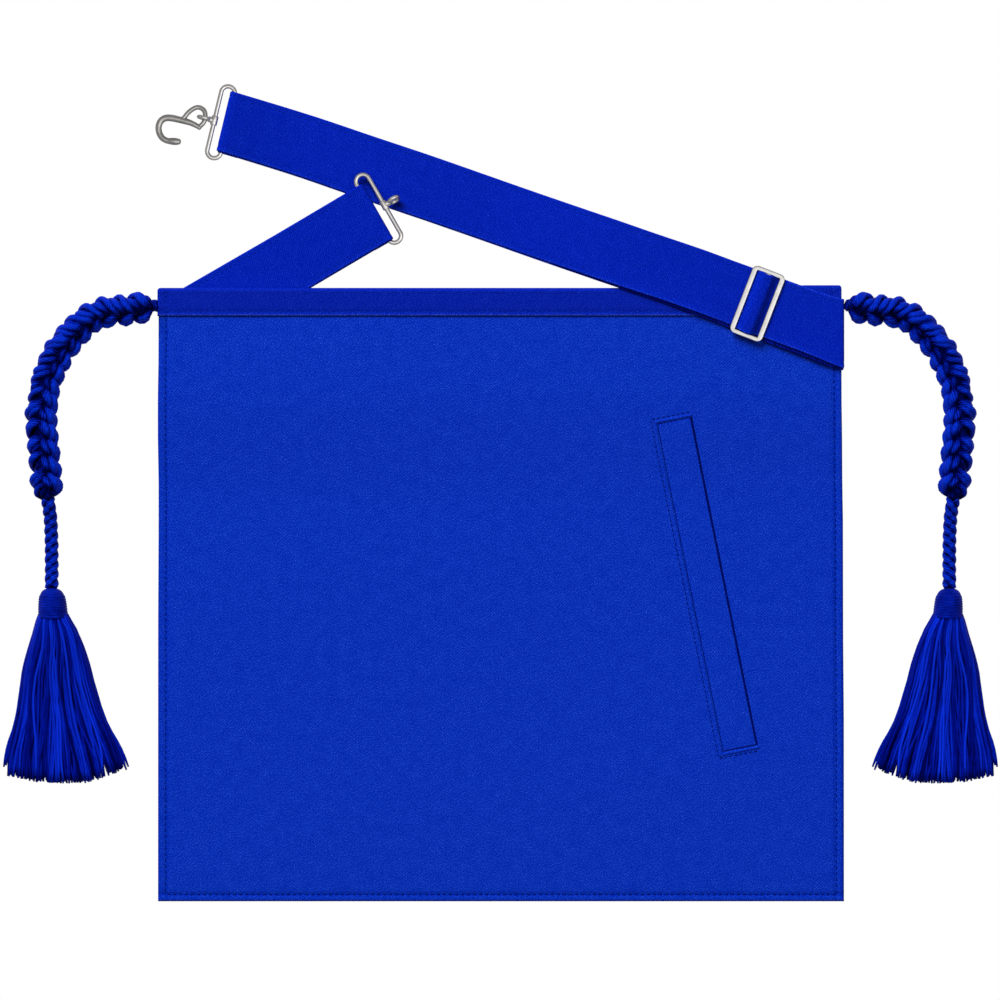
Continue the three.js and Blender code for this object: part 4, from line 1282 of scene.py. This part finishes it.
def wire_ring(lean, length):
    """A loop with its collar, stem and eye, in its own frame: its hidden bar at the origin, along y."""
    bpy.ops.mesh.primitive_torus_add(
        major_radius=loop_bend, minor_radius=loop_wire / 2, major_segments=40, minor_segments=16,
        location=(loop_bend, 0, 0),
    )
    ring = bpy.context.object
    for vertex in ring.data.vertices:
        vertex.co.y += math.copysign((length - loop_wire) / 2 - loop_bend, vertex.co.y + 1e-5)
    bpy.ops.mesh.primitive_cylinder_add(
        vertices=24, radius=loop_wire * 0.76, depth=loop_wire * 2.1, location=(loop_depth, 0, 0),
    )
    collar = bpy.context.object
    collar.rotation_euler = (math.pi / 2, 0, 0)
    soften(collar, 0.5)
    stem_length = loop_wire / 2 + eye_wire
    bpy.ops.mesh.primitive_cylinder_add(
        vertices=16, radius=eye_wire * 0.75, depth=stem_length, location=(loop_depth + stem_length / 2, 0, 0),
        rotation=(0, math.pi / 2, 0),
    )
    stem = bpy.context.object
    soften(stem, 0.3)
    bpy.ops.mesh.primitive_torus_add(
        major_radius=eye_radius, minor_radius=eye_wire / 2, major_segments=32, minor_segments=12,
        location=(loop_depth + stem_length + eye_radius - eye_wire * 0.25, 0, 0),
        rotation=(math.pi / 2 - math.radians(lean), 0, 0),
    )
    return joined_piece([ring, collar, stem, bpy.context.object])


polished_nickel = nickel_material("bright_nickel_plate", "#a4a19e", "#d6d3d0", 0.28)
dull_nickel = nickel_material("dull_nickel_plate", "#82807d", "#b4b2af", 0.3)
bar_height = strap_wall + gap + loop_wire / 2
eye_height = eye_diameter / 2 + 0.1
catch_lean = 17
catch_height = strap_wall + gap + eye_diameter / 2 * math.cos(math.radians(catch_lean)) + 0.3
hook_bar = long_plan(False, long_length - fold_radius)
catch_bar = short_plan(False, short_length - fold_radius)
for name, node_name, plan, low, high, lean, length, slip in (
    ("hook_wire_loop", "hook_loop", hook_bar, bar_height, eye_height, 0, 46.8, -1.0),
    ("catch_wire_loop", "catch_loop", catch_bar, on_strap + bar_height, catch_height, catch_lean, 48.6, 1.1),
):
    loop = wire_ring(lean, length)
    placed_at(loop, plan[0] + plan[2] * slip, low, plan[3], math.atan2(high - low, eye_reach))
    as_piece(loop, name, polished_nickel, node_name, 50)


# The snake hook: thick wire bent to an open hook at one end, and to a closed thinner eye at the other,
# which is linked in the loop's eye.
hook_reach = 28.8
hook_wire = 4.15
hook_eye_wire = 2.85
hook_bend = [
    (-15.9, -14.9), (-19.2, -14.7), (-23.2, -14.2), (-26.2, -12.3), (-27.9, -9), (-28.1, -5.4), (-26.7, -2.3),
    (-24, -0.7), (-20.4, -0.7), (-15, -1.9), (-9, -3.6), (-4.8, -5.7), (-3.3, -6.7),
]
hook_eye = [
    (-15, -2), (-12.8, -0.5), (-10.3, 2.5), (-6.8, 5), (-3.8, 5.6), (-0.8, 3.8), (0, 0.4), (-0.8, -3.1),
    (-3, -5.6),
]
hook_taper = ((0, 0.04, 0.09, 0.14, 0.6, 0.8, 1), (0.85, 1.05, 1.02, 0.86, 1.0, 0.92, 0.66))


def rounded_ends(line, radii):
    """A wire's line and radii, with small steps at both ends that round them off."""
    steps = np.array([0.0, 0.12, 0.3, 0.6, 1.0])
    sizes = np.sqrt(1 - (1 - steps) ** 2)
    sizes[0] = 0.12
    ahead = directions(line)
    first = line[0] + ahead[0] * (steps[:-1, None] - 1) * radii[0] * 0.7
    last = line[-1] - ahead[-1] * (steps[::-1][1:, None] - 1) * radii[-1] * 0.7
    line = np.concatenate([first, line, last])
    radii = np.concatenate([sizes[:-1] * radii[0], radii, sizes[::-1][1:] * radii[-1]])
    return line, radii


bend_line = even_line([(x, y, 0) for x, y in hook_bend], 0.7)
shares = np.linspace(0, 1, len(bend_line))
bend_radii = hook_wire / 2 * np.interp(shares, *hook_taper)
eye_line = even_line([(x, y, 0) for x, y in hook_eye], 0.6)
eye_radii = np.full(len(eye_line), hook_eye_wire / 2)
eye_offset = gap * 2
hook_height = eye_height - eye_offset
hook_place = hook_bar[0] + hook_bar[3] * (eye_reach - eye_offset)
hook_tilt = math.asin((hook_height - hook_wire * 0.56) / hook_reach)


def hooked(points):
    """Places of the hook, from its own frame to its place, tilted so that its bend lies on the floor."""
    x, y, z = np.moveaxis(np.asarray(points), -1, 0)
    return np.stack([
        x * math.cos(hook_tilt) - z * math.sin(hook_tilt) + hook_place[0], y + hook_place[1],
        x * math.sin(hook_tilt) + z * math.cos(hook_tilt) + hook_height,
    ], -1)


hook = skin("snake_hook_wire", [
    hooked(tube(*rounded_ends(bend_line, bend_radii), 18)), hooked(tube(*rounded_ends(eye_line, eye_radii), 16)),
], dull_nickel, "snake_hook")
finished(hook, 60)


# The studio: a white light table, which leaves no shadow on it, and soft light from above.
bpy.ops.mesh.primitive_plane_add(size=6, location=(0, 0, -0.00005))
floor = bpy.context.object
floor.name = "studio_floor"
white_floor, output = new_material("white_paper")
paper = add_node(white_floor, "BsdfPrincipled", {
    "Base Color": (0, 0, 0, 1), "Roughness": 0.9, "Specular IOR Level": 0.0,
    "Emission Color": (1, 1, 1, 1), "Emission Strength": 1.0,
})
white_floor.node_tree.links.new(paper.outputs["BSDF"], output.inputs["Surface"])
floor.data.materials.append(white_floor)
floor.visible_glossy = False

world = bpy.data.worlds.new("studio_surround")
world.use_nodes = True
background = world.node_tree.nodes["Background"]
background.inputs["Color"].default_value = (1, 1, 1, 1)
background.inputs["Strength"].default_value = 0.5
world.cycles_visibility.diffuse = False
bpy.context.scene.world = world


def softbox(name, place, size, power, aim=(0, -0.05, 0)):
    light = bpy.data.lights.new(name, "AREA")
    light.shape = "SQUARE"
    light.size = size
    light.energy = power
    lamp = bpy.data.objects.new(name, light)
    lamp.location = place
    lamp.rotation_mode = "QUATERNION"
    lamp.rotation_quaternion = (Vector(aim) - Vector(place)).to_track_quat("-Z", "Y")
    bpy.context.scene.collection.objects.link(lamp)
    return lamp


top_softbox = softbox("top_softbox", (-1.7, 3.2, 2.95), 2.7, 364)
top_softbox.visible_glossy = False
softbox("side_softbox", (1.1, -0.3, 1.7), 1.2, 9)
overhead = softbox("overhead_softbox", (-0.02, -0.07, 1.0), 1.0, 3.7, aim=(-0.02, -0.06, 0))
overhead.visible_diffuse = False
overhead.visible_camera = False
bpy.context.scene.view_settings.view_transform = "Standard"
